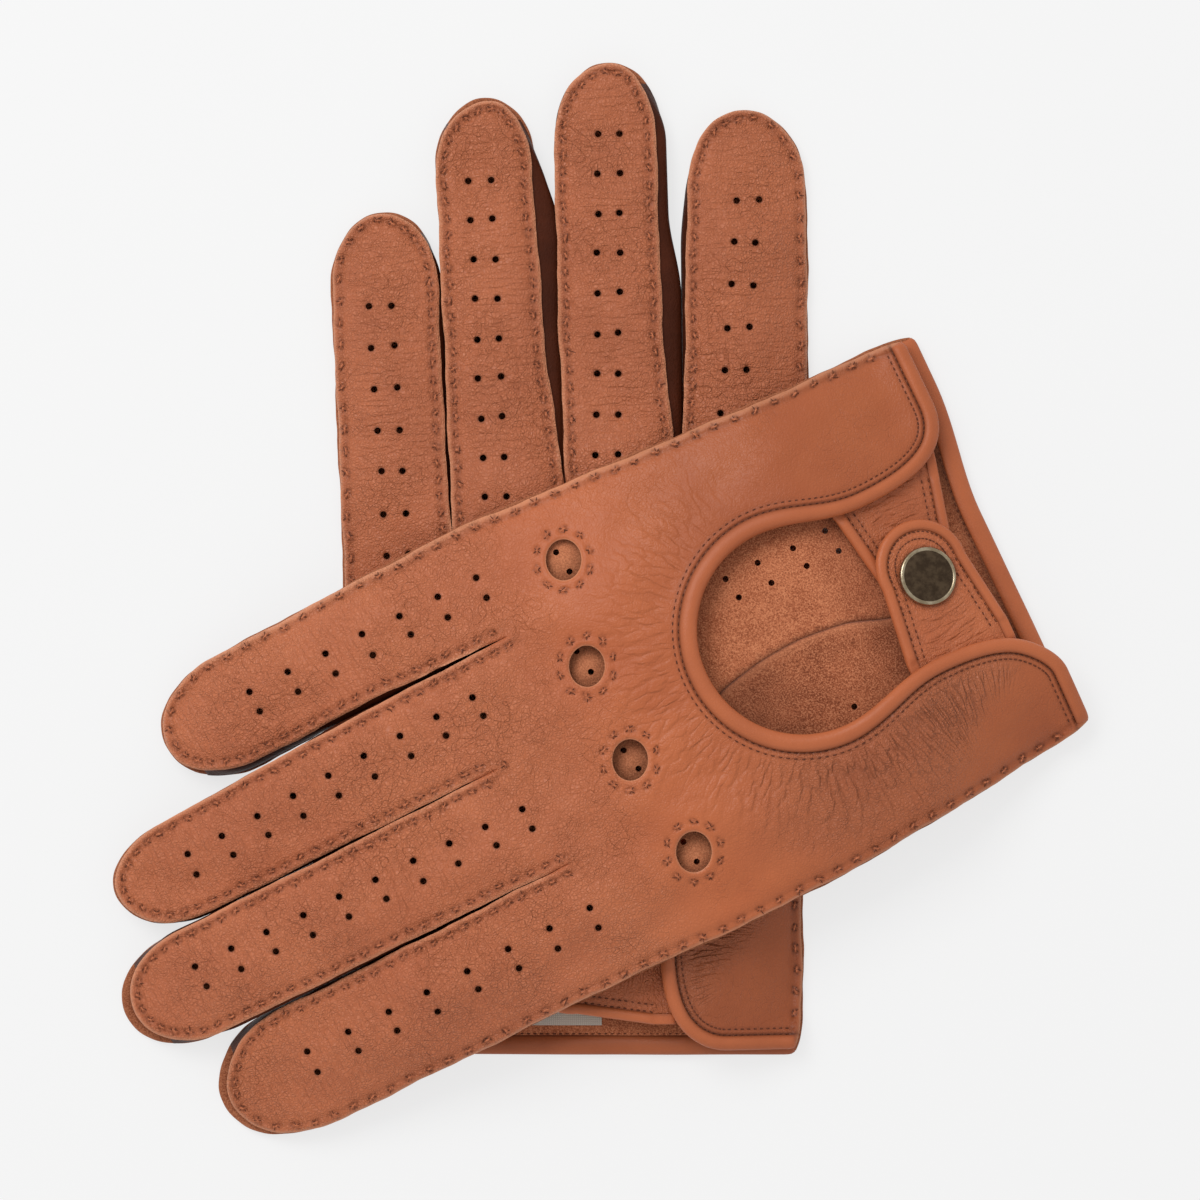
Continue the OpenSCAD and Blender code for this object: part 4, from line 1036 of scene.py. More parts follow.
    # pale cut edges: wider between the fingers and on the right glove's little side, none in the crotches
    tips = runLength(seam)[pitch == back["stitchPitch"]]
    start, fade = back["slit"]
    slit = stepUp(seamRun - tips[0], back["slit"]) * stepDown(seamRun, (tips[-1] - start, fade))
    wide, more, most = back["rawWide"]
    wide = wide + more * slit + most * lies * stepUp(seamRun - tips[-1], back["rawSide"])
    start, fade = back["rawCrotch"]
    raw = bell(dSeam / wide) * (1 - smooth(start - nearestSpot(p, seam[turns(seam, -1)])[0] / fade))
    raw = raw + ridge(knuckleGap(p, knuckles), back["knuckleRaw"])
    coarse = back["flapCoarse"] * flap * (1 - stepUp(dBound, back["flapCoarseTo"]))
    amount = back["windowFold"] * window + back["flapFold"] * flap
    values = {
        "shade": np.clip(shade, 0, 1), "raw": np.clip(raw, 0, 1), "fold": run, "foldOut": dBound,
        "coarse": np.clip(stepUp(p[:, 1], back["coarse"]) + coarse, 0, 1),
        "foldAmount": amount * stepUp(dBound, back["foldFrom"]) * (1 - stepUp(dBound, back["foldTo"])),
    }
    k = whichFinger(frames, p)
    for i, f in enumerate(frames):  # folds across the fingers
        v, c = fingerCoords(f, p)
        on = (k == i) & (v > back["fingerFoldRoot"])
        amount = back["fingerFold"] * stepUp(v, back["fingerFoldFrom"])
        amount = amount * stepUp(f["half"] - np.abs(c), back["fingerFoldEdge"])
        across = {"fold": v + 50 * i, "foldOut": c, "foldAmount": amount}
        values.update({name: np.where(on, a, values[name]) for name, a in across.items()})
    lie = droop(glove, p, frames)
    top, bottom = place(glove, p, z + lie), place(glove, p, plain - cut["leather"] + lie)
    owner, stitchOwner = pieceOf(frames, p[tris].mean(1)), pieceOf(frames, at)
    rowLine = openingLine(glove, back["rowTuck"])
    grow = back["rowGrow"] * windowShare(runLength(rowLine) / runLength(rowLine)[-1])
    rows = [alongLine(rowLine, back["rowPitch"], r + grow) for r in back["rows"]]
    rowAt, rowAlong = (np.concatenate([r[i] for r in rows]) for i in (0, 1))
    ok = (nearest(rowAt, bound)[0] > 0.9 * back["rows"][0]) & inside(rowAt, [outer])
    pieces = []
    for i in range(5):
        mine = stitchOwner == i
        spots, ways, n = at[mine], along[mine], mine.sum()
        long, on = back["stitchLong"] * size[mine, 0], lambda q: onto(q, -back["stitchSink"])
        parts = [sheetPart(top, bottom, tris[owner == i], values),
                 threads(glove, on, spots, ways, long, back["stitchThick"], seamSlot)]
        for angle in (back["lineTurn"], -back["lineTurn"]):  # two dark lines crossing under each stitch: thin dark threads that stand for painted shade
            way = turned(ways, angle + dice.normal(0, back["lineStray"][1], n))
            spot = spots + dice.normal(0, back["lineStray"][0], (n, 2))
            long, on = dice.uniform(*back["lineLong"], n), lambda q: onto(q, -back["lineSink"])
            parts.append(threads(glove, on, spot, way, long, back["lineThick"], rowAndShadeSlot))
        if i == 0:
            on = lambda q: onto(q, back["rowUp"])
            parts.append(threads(glove, on, rowAt[ok], rowAlong[ok], 1.0, back["rowThick"], rowAndShadeSlot))
        pieces.append(makePiece(pieceName(side, "Back", i), parts, leafMaterials[side]))
    ridePieces(glove, pieces, ("hand_back", "tip_back"), "back_leather")
    glove["leaf"] = lambda q: leaf(q, nearest(q, seam)[0], nearest(q, bound)[0]) + droop(glove, q, frames)
    print(side, "back:", len(p), "points,", len(tris), "triangles,", len(at), "stitches")


def bendPiece(piece):  # a finger's piece, its transform baked into its mesh
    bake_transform(piece)


def dress(piece, body, slot, *nodes):  # what a piece rides on and the solids it stands for, which are hidden; slot is not used
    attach(piece, body)
    if nodes:
        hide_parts(*nodes)


def ridePieces(glove, pieces, nodes, slot):  # the hand's piece rides on the hand; the finger ends are baked in place, their solids hidden
    side = glove["side"]
    dress(pieces[0], side + "_hand", slot, side + "_" + nodes[0])
    for k, piece in enumerate(pieces[1:]):
        bendPiece(piece)
        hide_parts(side + "_" + fingers[k] + "_" + nodes[1])


for glove in gloves.values():
    makeBack(glove)


# palms: suede upwards, seen through the window, the knuckle holes and the cuff; grain underneath
palm = {
    "cell": 1.8, "seamClear": 3.6, "rings": (0.5, 1.3, 2.1, 3.0), "ringStep": 1.1, "ventRound": 0.75, "pairHalf": 2.6,
    "pitch": 8.6, "swell": 4.0, "swellRound": 7.5, "rowIn": 3.9, "rowLong": 0.95,
    "edging": (-0.25, 0.6), "underEdging": (0.2, 0.6), "groove": (0.35, 2.0, 0.7), "grooveShade": (0.35, 2.0, 0.5),
    "seamShade": (0.4, 5), "strapShade": (0.9, 5.2, 2.4), "strapHalf": (36, 8), "crackShade": (0.8, 0, 0.55),
    "waves": 0.2,
    # columns of paired holes: place across the hand, first and last place along it
    "columns": ((13.9, 36.0, 64.0), (13.4, 91.0, 109.0), (36.0, 86.0, 104.0), (-11.7, 91.0, 109.0),
                (-36.8, 88.0, 106.0)),
}
gusset = {
    "outline": ((-9, 27), (-7.4, 33.7), (-4.6, 40.1), (-3.2, 52.3), (-3.9, 62.8), (-6.4, 74.8), (-13, 84), (-27, 88),
                (-40, 80), (-45, 60), (-42, 38), (-28, 26), (-16, 23.5)), "step": 0.8, "soft": 3,
    "hole": (-22.7, 47.9), "holeClear": 0.4, "cell": 1.4, "clear": 1.6, "rings": (-0.25, -0.6, -1.1, 0.25, 0.6, 1.1),
    "low": 0.06, "high": 0.1, "round": 0.9, "swell": (0.3, 2.5, 2), "waves": 0.3, "waveRun": 5,
    "raw": (1, 0.7, 0.6), "edgeShade": (0.5, 0, 0.2), "shade": 0.4, "shadeY": (50, 22),
}


def palmTop(glove, q):
    return bed(q[:, 0], q[:, 1]) + cut["leather"] + droop(glove, q, glove["front"])


def palmCuffLine(glove, x0, x1, step):
    x = np.linspace(x0, x1, 200)
    return resample(np.stack([x, palmEdge(glove, x)], axis=-1), step)


def makePalm(glove):
    side, lies, frames = glove["side"], glove["lies"], glove["front"]
    seam = seamLine(glove, 1)
    cuff = palmCuffLine(glove, seam[-1, 0], seam[0, 0], 1.2)
    outer = np.concatenate([seam, cuff[1:-1]])
    vents = [(x + s * palm["pairHalf"], y + 0.4 * s) for x, y0, y1 in palm["columns"]
             for y in np.arange(y0, y1, palm["pitch"]) for s in (-1, 1)]
    vents = np.array(vents) + dice.uniform(-0.3, 0.3, (len(vents), 2))
    toThumb = lambda q: np.linalg.norm(q - cut["thumb"], axis=1) - cut["thumbHole"]
    vents = vents[toThumb(vents) > 3]
    at, along = alongLine(seam, seamPitch(seam), back["stitchIn"])
    keep = (nearest(at, seam)[0] > 0.9 * back["stitchIn"]) & (nearest(at, cuff)[0] > 5)
    at, along = at[keep], along[keep]
    gussetLine = closed(closedLine(gusset["outline"], gusset["step"], gusset["soft"]))
    mesh = filled(outer, palm["cell"], (seam, palm["seamClear"]), (cuff, 1.0))
    edge = ringsOf(seam, palm["rings"], palm["ringStep"])
    crack = np.concatenate([gussetLine + d * sideNormal(gussetLine) for d in (-0.9, -0.4, 0.0, 0.4)])
    points = np.concatenate([mesh, edge[inside(edge, [outer])], crack])
    points = points[nearestSpot(points, vents)[0] > palm["ventRound"] + 0.5]
    points = points[np.abs(toThumb(points)) > 0.6]
    rims = [circle(v, palm["ventRound"] + 0.6, 8) for v in vents]
    holes = [circle(cut["thumb"], cut["thumbHole"], 80)] + [circle(v, palm["ventRound"], 8) for v in vents]
    p, tris = triangulate([outer] + holes, splitLines(frames), np.concatenate([points] + rims))
    dSeam = nearest(p, seam)[0]
    base = palmTop(glove, p)
    # the palm swells under the knuckle holes as a bell; its edge is rounded on both sides
    rise = palm["swell"] * bell(nearestSpot(p, np.array(knuckleSpots(glove)))[0] / palm["swellRound"])
    waves = palm["waves"] * slowWaves(p, 21 + lies) * smooth((dSeam - 3) / 10)
    top = place(glove, p, base + waves + rise + edging(dSeam, palm["edging"]))
    under = ridge(dSeam, palm["groove"]) + edging(dSeam, palm["underEdging"])
    bottom = place(glove, p, base + 0.6 * rise - cut["leather"] + under)
    # painted shade along the seam, under the strap's edge and round the gusset
    shade = ridge(dSeam, palm["grooveShade"]) + edging(dSeam, palm["seamShade"])
    shade = shade + lies * ridge(p[:, 1], palm["strapShade"]) * stepDown(np.abs(p[:, 0]), palm["strapHalf"])
    shade = np.clip(shade + ridge(nearest(p, gussetLine)[0], palm["crackShade"]), 0, 1)
    # lit: painted light on the suede where it swells up under the knuckle holes
    values = {"shade": shade, "raw": bell(dSeam / 0.45), "lit": 0.25 * rise}
    owner, stitchOwner = pieceOf(frames, p[tris].mean(1)), pieceOf(frames, at)
    below, above = lambda q: palmTop(glove, q) - cut["leather"] + 0.33, lambda q: palmTop(glove, q) + 0.02
    rowAt, rowAlong = alongLine(cuff, back["rowPitch"], palm["rowIn"])
    ok = np.abs(rowAt[:, 0]) < cut["cuff"] / 2 - 2
    pieces = []
    for i in range(5):
        mine = stitchOwner == i
        spots, ways = at[mine], along[mine]
        parts = [sheetPart(top, bottom, tris[owner == i], values, downward),
                 threads(glove, below, spots, ways, back["stitchLong"], back["stitchThick"], seamSlot, way=-1)]
        if i == 0:
            parts.append(threads(glove, above, rowAt[ok], rowAlong[ok], palm["rowLong"], back["rowThick"], rowAndShadeSlot))
        pieces.append(makePiece(pieceName(side, "Palm", i), parts, leafMaterials[side]))
    ridePieces(glove, pieces, ("hand_palm", "tip_front"), "palm_leather")
    glove["palmPiece"] = pieces[0]
    print(side, "palm:", len(p), "points")


def makeGusset(glove):  # the thumb's seam allowance, which lies over the thumb hole inside the palm
    loop = closedLine(gusset["outline"], gusset["step"], gusset["soft"])
    line = closed(loop)
    mesh = filled(loop, gusset["cell"], (line, gusset["clear"]))
    ring = np.concatenate([loop + d * sideNormal(line)[:-1] for d in gusset["rings"]])
    points = np.concatenate([mesh, ring])
    clear = np.linalg.norm(points - gusset["hole"], axis=1) > palm["ventRound"] + gusset["holeClear"]
    points = points[inside(points, [loop]) & clear]
    p, tris = triangulate([loop, circle(gusset["hole"], palm["ventRound"], 10)], [], points)
    d = nearest(p, line)[0]
    base = palmTop(glove, p)
    # a thick edge, rounded as a quarter of an ellipse, then a low swell behind it
    edge = np.sqrt(1 - (1 - d / gusset["round"]).clip(0, 1) ** 2)
    waves = gusset["waves"] * slowWaves(p, 41) * smooth(d / gusset["waveRun"])
    z = base + gusset["high"] + edge + ridge(d, gusset["swell"]) + waves
    # painted shade at the foot of the edge and towards the fingers; raw is a pale band on the rounded edge, partly the
    # cut edge's own colour and partly painted highlight
    shade = ridge(d, gusset["edgeShade"]) + gusset["shade"] * stepUp(p[:, 1], gusset["shadeY"])
    values = {"raw": ridge(d, gusset["raw"]), "shade": shade}
    part = sheetPart(place(glove, p, z), place(glove, p, base + gusset["low"]), tris, values, single)
    dress(makePiece(glove["side"] + "Gusset", [part], [gussetSuede]), glove["side"] + "_hand", "palm_leather")


# side walls of the fingers: from under the back's edge, folded in, to the palm's edge
wall = {"most": 4.4, "thick": 0.7, "rise": 21, "rows": 90, "stop": 0.3, "tuck": 0.3, "in": 0.5, "clear": 0.05,
        "bow": {1: 0.75, -1: 1.4}, "near": 20, "tipRun": (4, 12), "endRun": 14}


def makeWalls(glove, k):
    f, g = glove["back"][k], glove["front"][k]
    parts = []
    for s in ((1,) if k == 0 else (-1,) if k == 3 else (-1, 1)):
        crotch = f["crotches"][1 if s > 0 else 0]
        v = np.linspace(crotch - f["root"][1] + 1, f["tip"] - wall["stop"] * f["round"], wall["rows"])
        t = np.linspace(0, 1, wall["rise"])
        half = halfWidth(f, v)
        over, under = half + edgeOut(f, s, v) - wall["tuck"], halfWidth(g, v) + edgeOut(g, s, v) - wall["tuck"]
        # across: straight from leaf to leaf, plus half a sine that reaches the middle of the gap beside the finger
        beside, gap = glove["back"][k + s], min(k, k + s)
        w, c = fingerCoords(beside, fingerPoint(f, v, s * half))
        share = glove["share"][gap]
        room = np.clip(np.abs(c) - halfWidth(beside, w), 0, wall["most"]) * (share if s < 0 else 1 - share)
        near = smooth((beside["tip"] - glove["open"][gap] - w) / wall["near"])  # where the neighbour lies close
        room = room * smooth((f["tip"] - wall["tipRun"][0] - v) / wall["tipRun"][1]) * near
        footV, footC = fingerCoords(f, fingerPoint(g, v, s * under))
        bow = wall["bow"][s]  # neighbours swell at different heights
        swell, mid = np.sin(np.pi * t ** bow) ** 0.8, mix(s * footC, over, 0.5 ** (1 / bow))
        narrow = max(glove["taper"][k][(s + 1) // 2], 0) * taperRun(f, v) * (1 - near)
        out = (np.maximum(half - narrow + room, mid) - mid) * smooth((v[-1] - v) / wall["endRun"])
        zTop = glove["leaf"](fingerPoint(f, v, s * (over - wall["in"]))) - cut["leather"] - wall["clear"]
        zLow = palmTop(glove, fingerPoint(g, v, s * (under - wall["in"]))) + wall["clear"]
        z = mix(zLow[:, None], zTop[:, None], t)
        sides = []
        for depth in (0.0, wall["thick"]):
            c = mix(s * footC[:, None], over[:, None], t) + out[:, None] * swell - depth
            sides.append(place(glove, fingerPoint(f, mix(footV[:, None], v[:, None], t), s * c), z))
        parts.append(sweepPart(np.concatenate([sides[0], sides[1][:, ::-1]], axis=1)))
    piece = makePiece(pieceName(glove["side"], "Walls", k + 1), parts, [wallLeather])
    bendPiece(piece)
    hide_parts(glove["side"] + "_fourchette_bases", glove["side"] + "_" + fingers[k] + "_tip_fourchettes")


# thumbs: two leaves sewn round the stall, folded flat under the palm; the lower one keeps the round base
thumb = {"cell": 1.6, "clear": 1.2, "sink": 0.3, "groove": (0.3, 2.1, 0.7), "edging": (0.25, 0.5),
         "shade": (0.35, 2.1, 0.5)}


def thumbPlace(glove, p, z):
    q = turned(p, np.radians(-cut["thumbLean"])) + cut["thumb"]
    return place(glove, q, np.broadcast_to(z, len(p)) + rightLift * glove["lies"])


def makeThumb(glove):
    side = glove["side"]
    r, half = cut["thumbHole"] + cut["thumbLap"], cut["thumbWidth"] / 2
    meet = np.arccos(half / r)
    foot = r * np.sin(meet)
    tip = half * ray(np.linspace(0, np.pi, 50)) + [0, cut["thumbLength"] - half]
    stall = resample(np.concatenate([[[half, foot]], tip, [[-half, foot]]]), 0.8)
    base, rest = np.linspace(np.pi - meet, 2 * np.pi + meet, 110), np.linspace(np.pi - meet, meet, 40)
    for name, arc, low in (("thumb_front", base, 0.0), ("thumb_back", rest, cut["leather"] + cut["gap"])):
        loop = np.concatenate([stall, resample(r * ray(arc), 0.8)[1:-1]])
        mesh = filled(loop, thumb["cell"], (closed(loop), thumb["clear"]))
        ring = ringsOf(stall[::-1], palm["rings"], palm["ringStep"])
        p, tris = triangulate([loop], [], np.concatenate([mesh, ring[inside(ring, [loop])]]))
        d = nearest(p, stall)[0]
        # a groove along the seam and a rounded edge, on the side that faces out
        dent = ridge(d, thumb["groove"]) + edging(d, thumb["edging"])
        high, bottom = (low + cut["leather"] - dent, low) if low else (cut["leather"], dent)
        values = {"shade": ridge(d, thumb["shade"]), "raw": bell(d / 0.45)}
        top, under = thumbPlace(glove, p, high), thumbPlace(glove, p, bottom)
        leaf = sheetPart(top, under, tris, values, upward if low else downward)
        at, along = alongLine(stall[::-1], back["stitchPitch"], back["stitchIn"])
        z = low + cut["leather"] - thumb["sink"] if low else thumb["sink"]
        here, ahead = (thumbPlace(glove, q, z) for q in (at, at + along))
        up = np.tile([0.0, 0.0, 1 if low else -1], (len(at), 1))
        seam = stitchPart(here, ahead - here, up, back["stitchLong"], back["stitchThick"], seamSlot)
        piece = makePiece(side + name.title().replace("_", ""), [leaf, seam], leafMaterials[side])
        dress(piece, side + "_thumb", "palm_leather", side + "_" + name)


# rolled bindings: half the profile, beyond the leaf's edge and above its middle; the other half is its mirror image
binding = {
    "opening": ((-2.4, 0.5), (-2.33, 0.68), (-2.05, 1.0), (-1.6, 1.3), (-1.05, 1.47), (-0.5, 1.45), (-0.05, 1.28),
                (0.38, 1.0), (0.76, 0.62), (0.96, 0.22)),
    "cuff": ((-3.6, 0.5), (-3.5, 0.68), (-3.1, 0.98), (-2.4, 1.3), (-1.6, 1.47), (-0.8, 1.47), (-0.15, 1.3),
             (0.38, 1.0), (0.76, 0.62), (0.96, 0.22)),
    "strap": ((-2.6, 0.5), (-2.53, 0.66), (-2.3, 0.9), (-1.85, 1.16), (-1.35, 1.26), (-0.8, 1.2), (-0.36, 0.98),
              (-0.1, 0.6), (0.0, 0.2)),
    "slot": 0.5, "pressed": 0.72, "endRun": 2.4, "openingTuck": 0.7, "openingGrow": 0.33, "cuffTuck": 0.8,
    "cuffShade": 0.26, "lipShade": (0.5, 0, 0.35),
}


def ringProfile(half):  # the roll outside, the slot that holds the leaf's edge inside
    upper, h = np.array(half), binding["slot"]
    lip = upper[0, 0] + 0.3
    inner = np.array([(lip, -h), (-1.0, -h), (-0.9, 0.0), (-1.0, h), (lip, h)])
    return np.concatenate([upper, upper[::-1] * [1, -1], inner])


def beadPart(path, half, lay, flat=None, grow=0.0, dim=0.0):  # the profile carried along the edge, its lips on the leaf
    profile = ringProfile(half)
    outward = -sideNormal(path)
    s = runLength(path)
    swell = 1 + 0.03 * np.sin(s / 9) + 0.02 * np.sin(s / 3.7 + 1)
    close = np.clip(1 - np.minimum(s, s[-1] - s) / binding["endRun"], 0, 1)  # both ends run out round
    swell = swell * (0.3 + 0.7 * np.sqrt(1 - close ** 2))
    wide = 1 + grow * windowShare(s / s[-1])
    across = profile[None, :, 0] * np.where(profile[None, :, 0] > 0, swell[:, None], wide[:, None])
    q = path[:, None] + across[..., None] * outward[:, None]
    hold = path[:, None] + np.minimum(across, 0)[..., None] * outward[:, None]
    n, m = q.shape[:2]
    b = profile[None, :, 1] * swell[:, None]
    if flat is not None:  # pressed flat where it runs under a flap
        b = np.sign(b) * mix(np.abs(b), np.minimum(np.abs(b), binding["pressed"]), flat[:, None])
    rings = lay(q.reshape(-1, 2), hold.reshape(-1, 2), b.ravel()).reshape(n, m, 3)
    # painted shade: along the lips where they meet the leaf, and over the whole bead as asked
    shade = np.clip(dim + ridge(profile[:, 0] - profile[0, 0], binding["lipShade"]), 0, 1)
    return sweepPart(rings, 0, {"shade": np.tile(shade, n)})


def makeBindings(glove):
    side, half, tuck = glove["side"], cut["cuff"] / 2, binding["cuffTuck"]
    opening = openingLine(glove, binding["openingTuck"])
    cuff = palmCuffLine(glove, half + glove["spread"][1] - tuck, tuck - half - glove["spread"][0], 0.8)
    # the left palm's binding lies in the right glove's shadow and gets painted shade
    rows = (("Opening", opening, "opening", glove["leaf"], binding["openingGrow"], 0.0),
            ("Palm", cuff, "cuff", lambda q: palmTop(glove, q), 0.0, binding["cuffShade"] * (1 - glove["lies"])))
    for name, path, kind, surface, grow, dim in rows:
        lay = lambda q, hold, b: place(glove, q, surface(hold) - cut["leather"] / 2 + b)
        bead = beadPart(path, binding[kind], lay, grow=grow, dim=dim)
        piece = makePiece(side + name + "Binding", [bead], [bindingLeather])
        dress(piece, side + "_hand", "binding_leather", side + "_" + name.lower() + "_binding")


# the tab and the strap under it, in the plane of the cuff
straps = {
    "tab": {"name": "Tab", "root": -28.3, "bindRoot": -19.2, "bindEnd": -24.5, "end": -0.4, "width": 27.2,
            "round": 11.2, "way": 1, "mid": tabMid, "dim": 0.0},
    "stud": {"name": "StudStrap", "root": 27.0, "bindRoot": 17.0, "bindEnd": 23.0, "end": -2.8, "width": 26.0,
             "round": 9.6, "way": -1, "mid": strapMid, "dim": 0.12},
    "cell": 0.9, "clear": 0.7, "edgeIn": 0.9, "rows": (2.85, 4.5), "rowLong": 0.95, "capClear": 7.2,
    "waves": 0.12, "waveRun": (3, 5), "creaseDeep": 0.1, "creaseRun": 2.3, "fold": 0.5, "coarse": 0.5, "rowHigh": 0.4,
    "hinge": (-1.4, 1.6), "crease": ((4, 5), (5, 3), (7.5, 3)),
    "grooves": ((-0.18, 2.85, 0.45), (-0.18, 4.5, 0.45)), "welt": (0.15, 3.7, 0.6), "dent": (-0.12, 6.9, 0.8),
    "rowShades": ((0.3, 2.85, 0.35), (0.3, 4.5, 0.35)), "snapShade": (0.5, 6.8, 0.5),
}


def cuffPlace(glove, p, z):  # turned about the snap into the slope of the cuff
    y0 = cut["snap"][1]
    a = np.arctan(drapeSlope) * glove["lies"]
    dy, dz = p[:, 1] - y0, z - tabMid
    q = np.stack([p[:, 0], y0 + dy * np.cos(a) - dz * np.sin(a)], axis=-1)
    lift = (rightLift - drapeSlope * (drapeY - y0)) * glove["lies"]
    return place(glove, q, tabMid + dy * np.sin(a) + dz * np.cos(a) + lift)


def strapLine(glove, spec, inset, root):  # from one root round the free end to the other, with the leather on the right
    turn = np.radians(np.linspace(-96, 96, 60))
    r, y0 = spec["round"] - inset, cut["snap"][1]
    arc = r * ray(turn) * [spec["way"], 1] + [spec["end"], y0]
    half = spec["width"] / 2 - inset
    low = glove["strapLow"] if spec["way"] < 0 else 0  # how much nearer to the palm's binding the strap below comes
    bindLow, bindHigh = [spec["bindRoot"], y0 - half - low], [spec["bindRoot"], y0 + half]
    line = [bindLow] + arc.tolist() + [bindHigh]
    on = root - spec["bindRoot"]
    if on:  # the strap's sides run on straight, the tab's level
        slope = (arc[0] - bindLow) * on / (arc[0, 0] - spec["bindRoot"]) if spec["way"] < 0 else np.array([on, 0])
        line = [(bindLow + slope).tolist()] + line + [(bindHigh + slope * [1, -1]).tolist()]
    line = resample(np.array(line), 0.6)
    return line if spec["way"] < 0 else line[::-1]


def strapLeaf(glove, spec, seed):
    line = strapLine(glove, spec, straps["edgeIn"], spec["root"])
    loop = np.concatenate([line, resample(line[[-1, 0]], 0.8)[1:-1]])
    p, tris = triangulate([loop], [], filled(loop, straps["cell"], (closed(loop), straps["clear"])))
    d = nearest(p, line)[0] + straps["edgeIn"]
    toSnap = np.linalg.norm(p - cut["snap"], axis=1)
    run = spec["way"] * (cut["snap"][0] - p[:, 0])
    # slow waves, creases across the strap as a sine, a groove for each row with a welt between, a dent round the snap
    crease = np.prod([stepUp(t, spot) for t, spot in zip((run, d, toSnap), straps["crease"])], axis=0)
    fold = run / straps["creaseRun"] + 0.5 * np.sin(p[:, 1] / 4 + seed) + 0.2 * np.sin(p[:, 1] / 1.7)
    z = cut["leather"] / 2 + straps["waves"] * slowWaves(p, seed) * stepUp(d, straps["waveRun"])
    z = z - straps["creaseDeep"] * crease * np.sin(np.pi * fold)
    z = z + sum(ridge(d, r) for r in straps["grooves"]) + ridge(d, straps["welt"]) + ridge(toSnap, straps["dent"])
    # painted shade: the stud strap's own share, along the rows and round the snap
    shade = spec["dim"] + sum(ridge(d, r) for r in straps["rowShades"]) + ridge(toSnap, straps["snapShade"])
    values = {"shade": np.clip(shade, 0, 1), "fold": run + 0.8 * np.sin(p[:, 1] / 4 + seed), "foldOut": p[:, 1],
              "foldAmount": straps["fold"] * crease, "coarse": np.full(len(p), straps["coarse"])}
    lay = lambda q, h: cuffPlace(glove, q, np.full(len(q), spec["mid"]) + h)
    parts = [sheetPart(lay(p, z), lay(p, -cut["leather"] / 2), tris, values)]
    for r in straps["rows"]:
        at, along = alongLine(strapLine(glove, spec, 0, spec["bindRoot"]), back["rowPitch"], r)
        ok = np.linalg.norm(at - cut["snap"], axis=1) > straps["capClear"]
        at, along = at[ok], along[ok]
        high = straps["rowHigh"]
        here, ahead, above = lay(at, high), lay(at + along, high), lay(at, high + 1)
        parts.append(stitchPart(here, ahead - here, above - here, straps["rowLong"], back["rowThick"], rowAndShadeSlot))
    return parts


def makeStraps(glove):
    side = glove["side"]
    hand = side + "_hand"
    for spec in (straps["tab"], straps["stud"]):
        leaf = makePiece(side + spec["name"], strapLeaf(glove, spec, 61 + glove["lies"]), leafMaterials[side])
        path = strapLine(glove, spec, 0, spec["bindEnd"])
        lay = lambda q, hold, b: cuffPlace(glove, q, spec["mid"] + b)
        flat = smooth((spec["way"] * (spec["bindRoot"] - path[:, 0]) + 1.2) / 2)
        bead = beadPart(path, binding["strap"], lay, flat)
        bead = makePiece(side + spec["name"] + "Binding", [bead], [bindingLeather])
        if spec["way"] > 0:  # the tab's pieces are baked in place and the tab's solids hidden
            for piece in (leaf, bead):
                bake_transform(piece)
            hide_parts(side + "_snap_tab", side + "_tab_root")
            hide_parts(side + "_tab_binding")
        else:
            dress(leaf, hand, "back_leather", side + "_stud_strap")
            dress(bead, hand, "binding_leather", side + "_stud_strap_binding")


# snap caps: a flat dark field in a rolled rim, turned round the snap's axis
cap = {"field": ((0.0, 1.4), (2.2, 1.38), (4.0, 1.3), (5.2, 1.2), (5.75, 1.1), (5.95, 1.06)),
       "rim": ((5.95, 1.06), (6.1, 1.12), (6.25, 1.22), (6.45, 1.24), (6.65, 1.14), (6.82, 0.9), (6.9, 0.55),
               (6.86, 0.2), (6.65, 0.02)),
       "under": ((6.65, 0.02), (3.0, 0.02), (0.0, 0.02)), "around": 96, "clear": 0.05}


def makeCap(glove):
    side = glove["side"]
    n = cap["around"]
    profile = np.array(cap["field"] + cap["rim"][1:] + cap["under"][1:])
    slots = [0] * (len(cap["field"]) - 1) + [1] * (len(cap["rim"]) + 1)
    body = profile[1:-1]
    m = len(body)
    flat = body[:, None, :1] * ray(around(n)) + cut["snap"]
    p = np.concatenate([flat.reshape(-1, 2), [cut["snap"], cut["snap"]]])
    z = np.concatenate([np.repeat(body[:, 1], n), profile[[0, -1], 1]]) + tabMid + cut["leather"] / 2 + cap["clear"]
    j = np.arange(n)
    k = (j + 1) % n
    ring = lambda i: [i * n + j, (i + 1) * n + j, (i + 1) * n + k, i * n + k]
    faces = [(np.stack([np.full(n, m * n), j, k], axis=-1), 0)]
    faces += [(np.stack(ring(i), axis=-1), slots[i + 1]) for i in range(m - 1)]
    faces.append((np.stack([np.full(n, m * n + 1), (m - 1) * n + k, (m - 1) * n + j], axis=-1), 1))
    piece = makePiece(side + "SnapCap", [partOf(cuffPlace(glove, p, z), faces)], [capField, capRim])
    dress(piece, side + "_tab", "snap_brass", side + "_snap_cap")
    for node in ("snap_socket", "snap_stud", "snap_post"):
        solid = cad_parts[side + "_" + node].data
        solid.materials.clear()
        solid.materials.append(capRim)


# the blank label sewn inside the left palm's cuff
label = {"at": (5.6, 12.3), "size": (26.0, 13.0), "thick": 0.35, "cell": 0.7, "clear": 0.12}


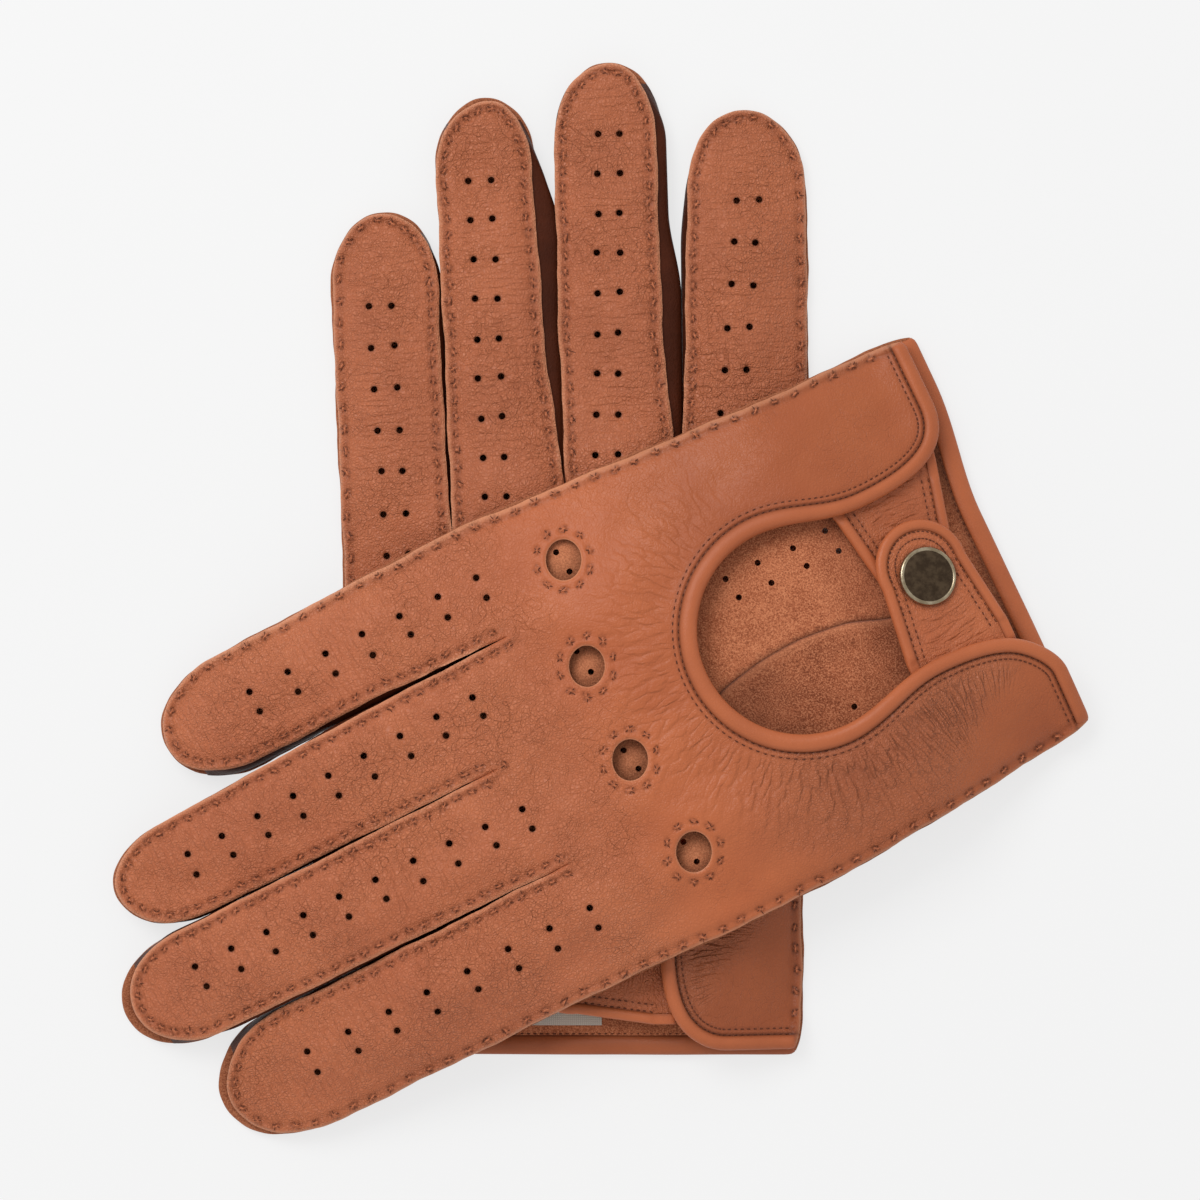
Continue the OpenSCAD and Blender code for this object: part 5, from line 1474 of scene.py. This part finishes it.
def makeLabel(glove):
    half = np.array(label["size"]) / 2
    corners = np.array([[-1, -1], [1, -1], [1, 1], [-1, 1], [-1, -1]]) * half + label["at"]
    loop = resample(corners, 0.65)[:-1]
    mesh = hexGrid(loop.min(0) + 0.5, loop.max(0) - 0.4, label["cell"])
    p, tris = triangulate([loop], [], mesh)
    base = palmTop(glove, p) + label["clear"] + 0.08 * slowWaves(p, 77)
    part = sheetPart(place(glove, p, base + label["thick"]), place(glove, p, base), tris, {}, single)
    piece = makePiece("leftLabel", [part], [labelCloth])
    dress(piece, "left_hand", "label_cloth", "left_label")


for glove in gloves.values():
    makePalm(glove)
    makeGusset(glove)
    for k in range(4):
        makeWalls(glove, k)
    makeThumb(glove)
    makeBindings(glove)
    makeStraps(glove)
    makeCap(glove)
    print(glove["side"], "palm, walls, thumb, bindings and straps done")
makeLabel(gloves["left"])


# stage: a pale floor that looks even to the camera but keeps some of the shadow, sky light and one softbox
stage = {"floor": srgb(244, 244, 244), "even": 0.8, "sky": 0.66, "softbox": 8.6, "softboxAt": (-0.5, 0.6, 1.0),
         "softboxSize": 0.7, "distance": 1.6, "field": 0.2779, "middle": (0.0005, -0.00033), "lift": 0.01,
         "under": (0.052, 0.01, 0.0), "underRound": (0.018, 0.024), "half": 2, "low": -0.0004, "sensor": 36}
floorMaterial, tree, bsdf, coords = newMaterial("paleFloor")
wire(tree, bsdf, {"Base Color": stage["floor"], "Roughness": 0.9, "Specular IOR Level": 0.1})
rays = add(tree, "LightPath").outputs
mirrored = math(tree, "MAXIMUM", rays["Is Glossy Ray"], rays["Is Transmission Ray"])
seen = math(tree, "MAXIMUM", rays["Is Camera Ray"], mirrored)
glow = add(tree, "Emission", {"Color": stage["floor"], "Strength": 1.0})
away = add(tree, "VectorMath", {0: coords, 1: stage["under"]}, operation="DISTANCE").outputs["Value"]
# the floor seen through the palm's holes stays in shadow
even = spread(tree, away, *stage["underRound"], 0.0, stage["even"])
both = add(tree, "MixShader", {0: times(tree, seen, even), 1: bsdf.outputs[0], 2: glow.outputs[0]})
tree.links.new(both.outputs[0], tree.nodes["Material Output"].inputs["Surface"])
mesh = bpy.data.meshes.new("floor")
corners = [(x * stage["half"], y * stage["half"], stage["low"]) for x, y in ((-1, -1), (1, -1), (1, 1), (-1, 1))]
mesh.from_pydata(corners, [], [(0, 1, 2, 3)])
mesh.materials.append(floorMaterial)
placed("floor", mesh)
scene = bpy.context.scene
scene.world = bpy.data.worlds.new("studio")
scene.world.use_nodes = True
sky = scene.world.node_tree
wire(sky, sky.nodes["Background"], {"Color": (1, 1, 1, 1), "Strength": stage["sky"]})
lamp = bpy.data.lights.new("softbox", "AREA")
lamp.size, lamp.energy = stage["softboxSize"], stage["softbox"]
softbox = placed("softbox", lamp)
softbox.location = stage["softboxAt"]
softbox.rotation_euler = (-Vector(stage["softboxAt"])).to_track_quat("-Z", "Y").to_euler()
camera = bpy.data.cameras.new("above")
camera.sensor_width = stage["sensor"]
camera.lens = stage["sensor"] * stage["distance"] / stage["field"]
scene.camera = placed("above", camera)
scene.camera.location = (*stage["middle"], stage["distance"] + stage["lift"])
scene.view_settings.view_transform = "Standard"
print("stage ready")
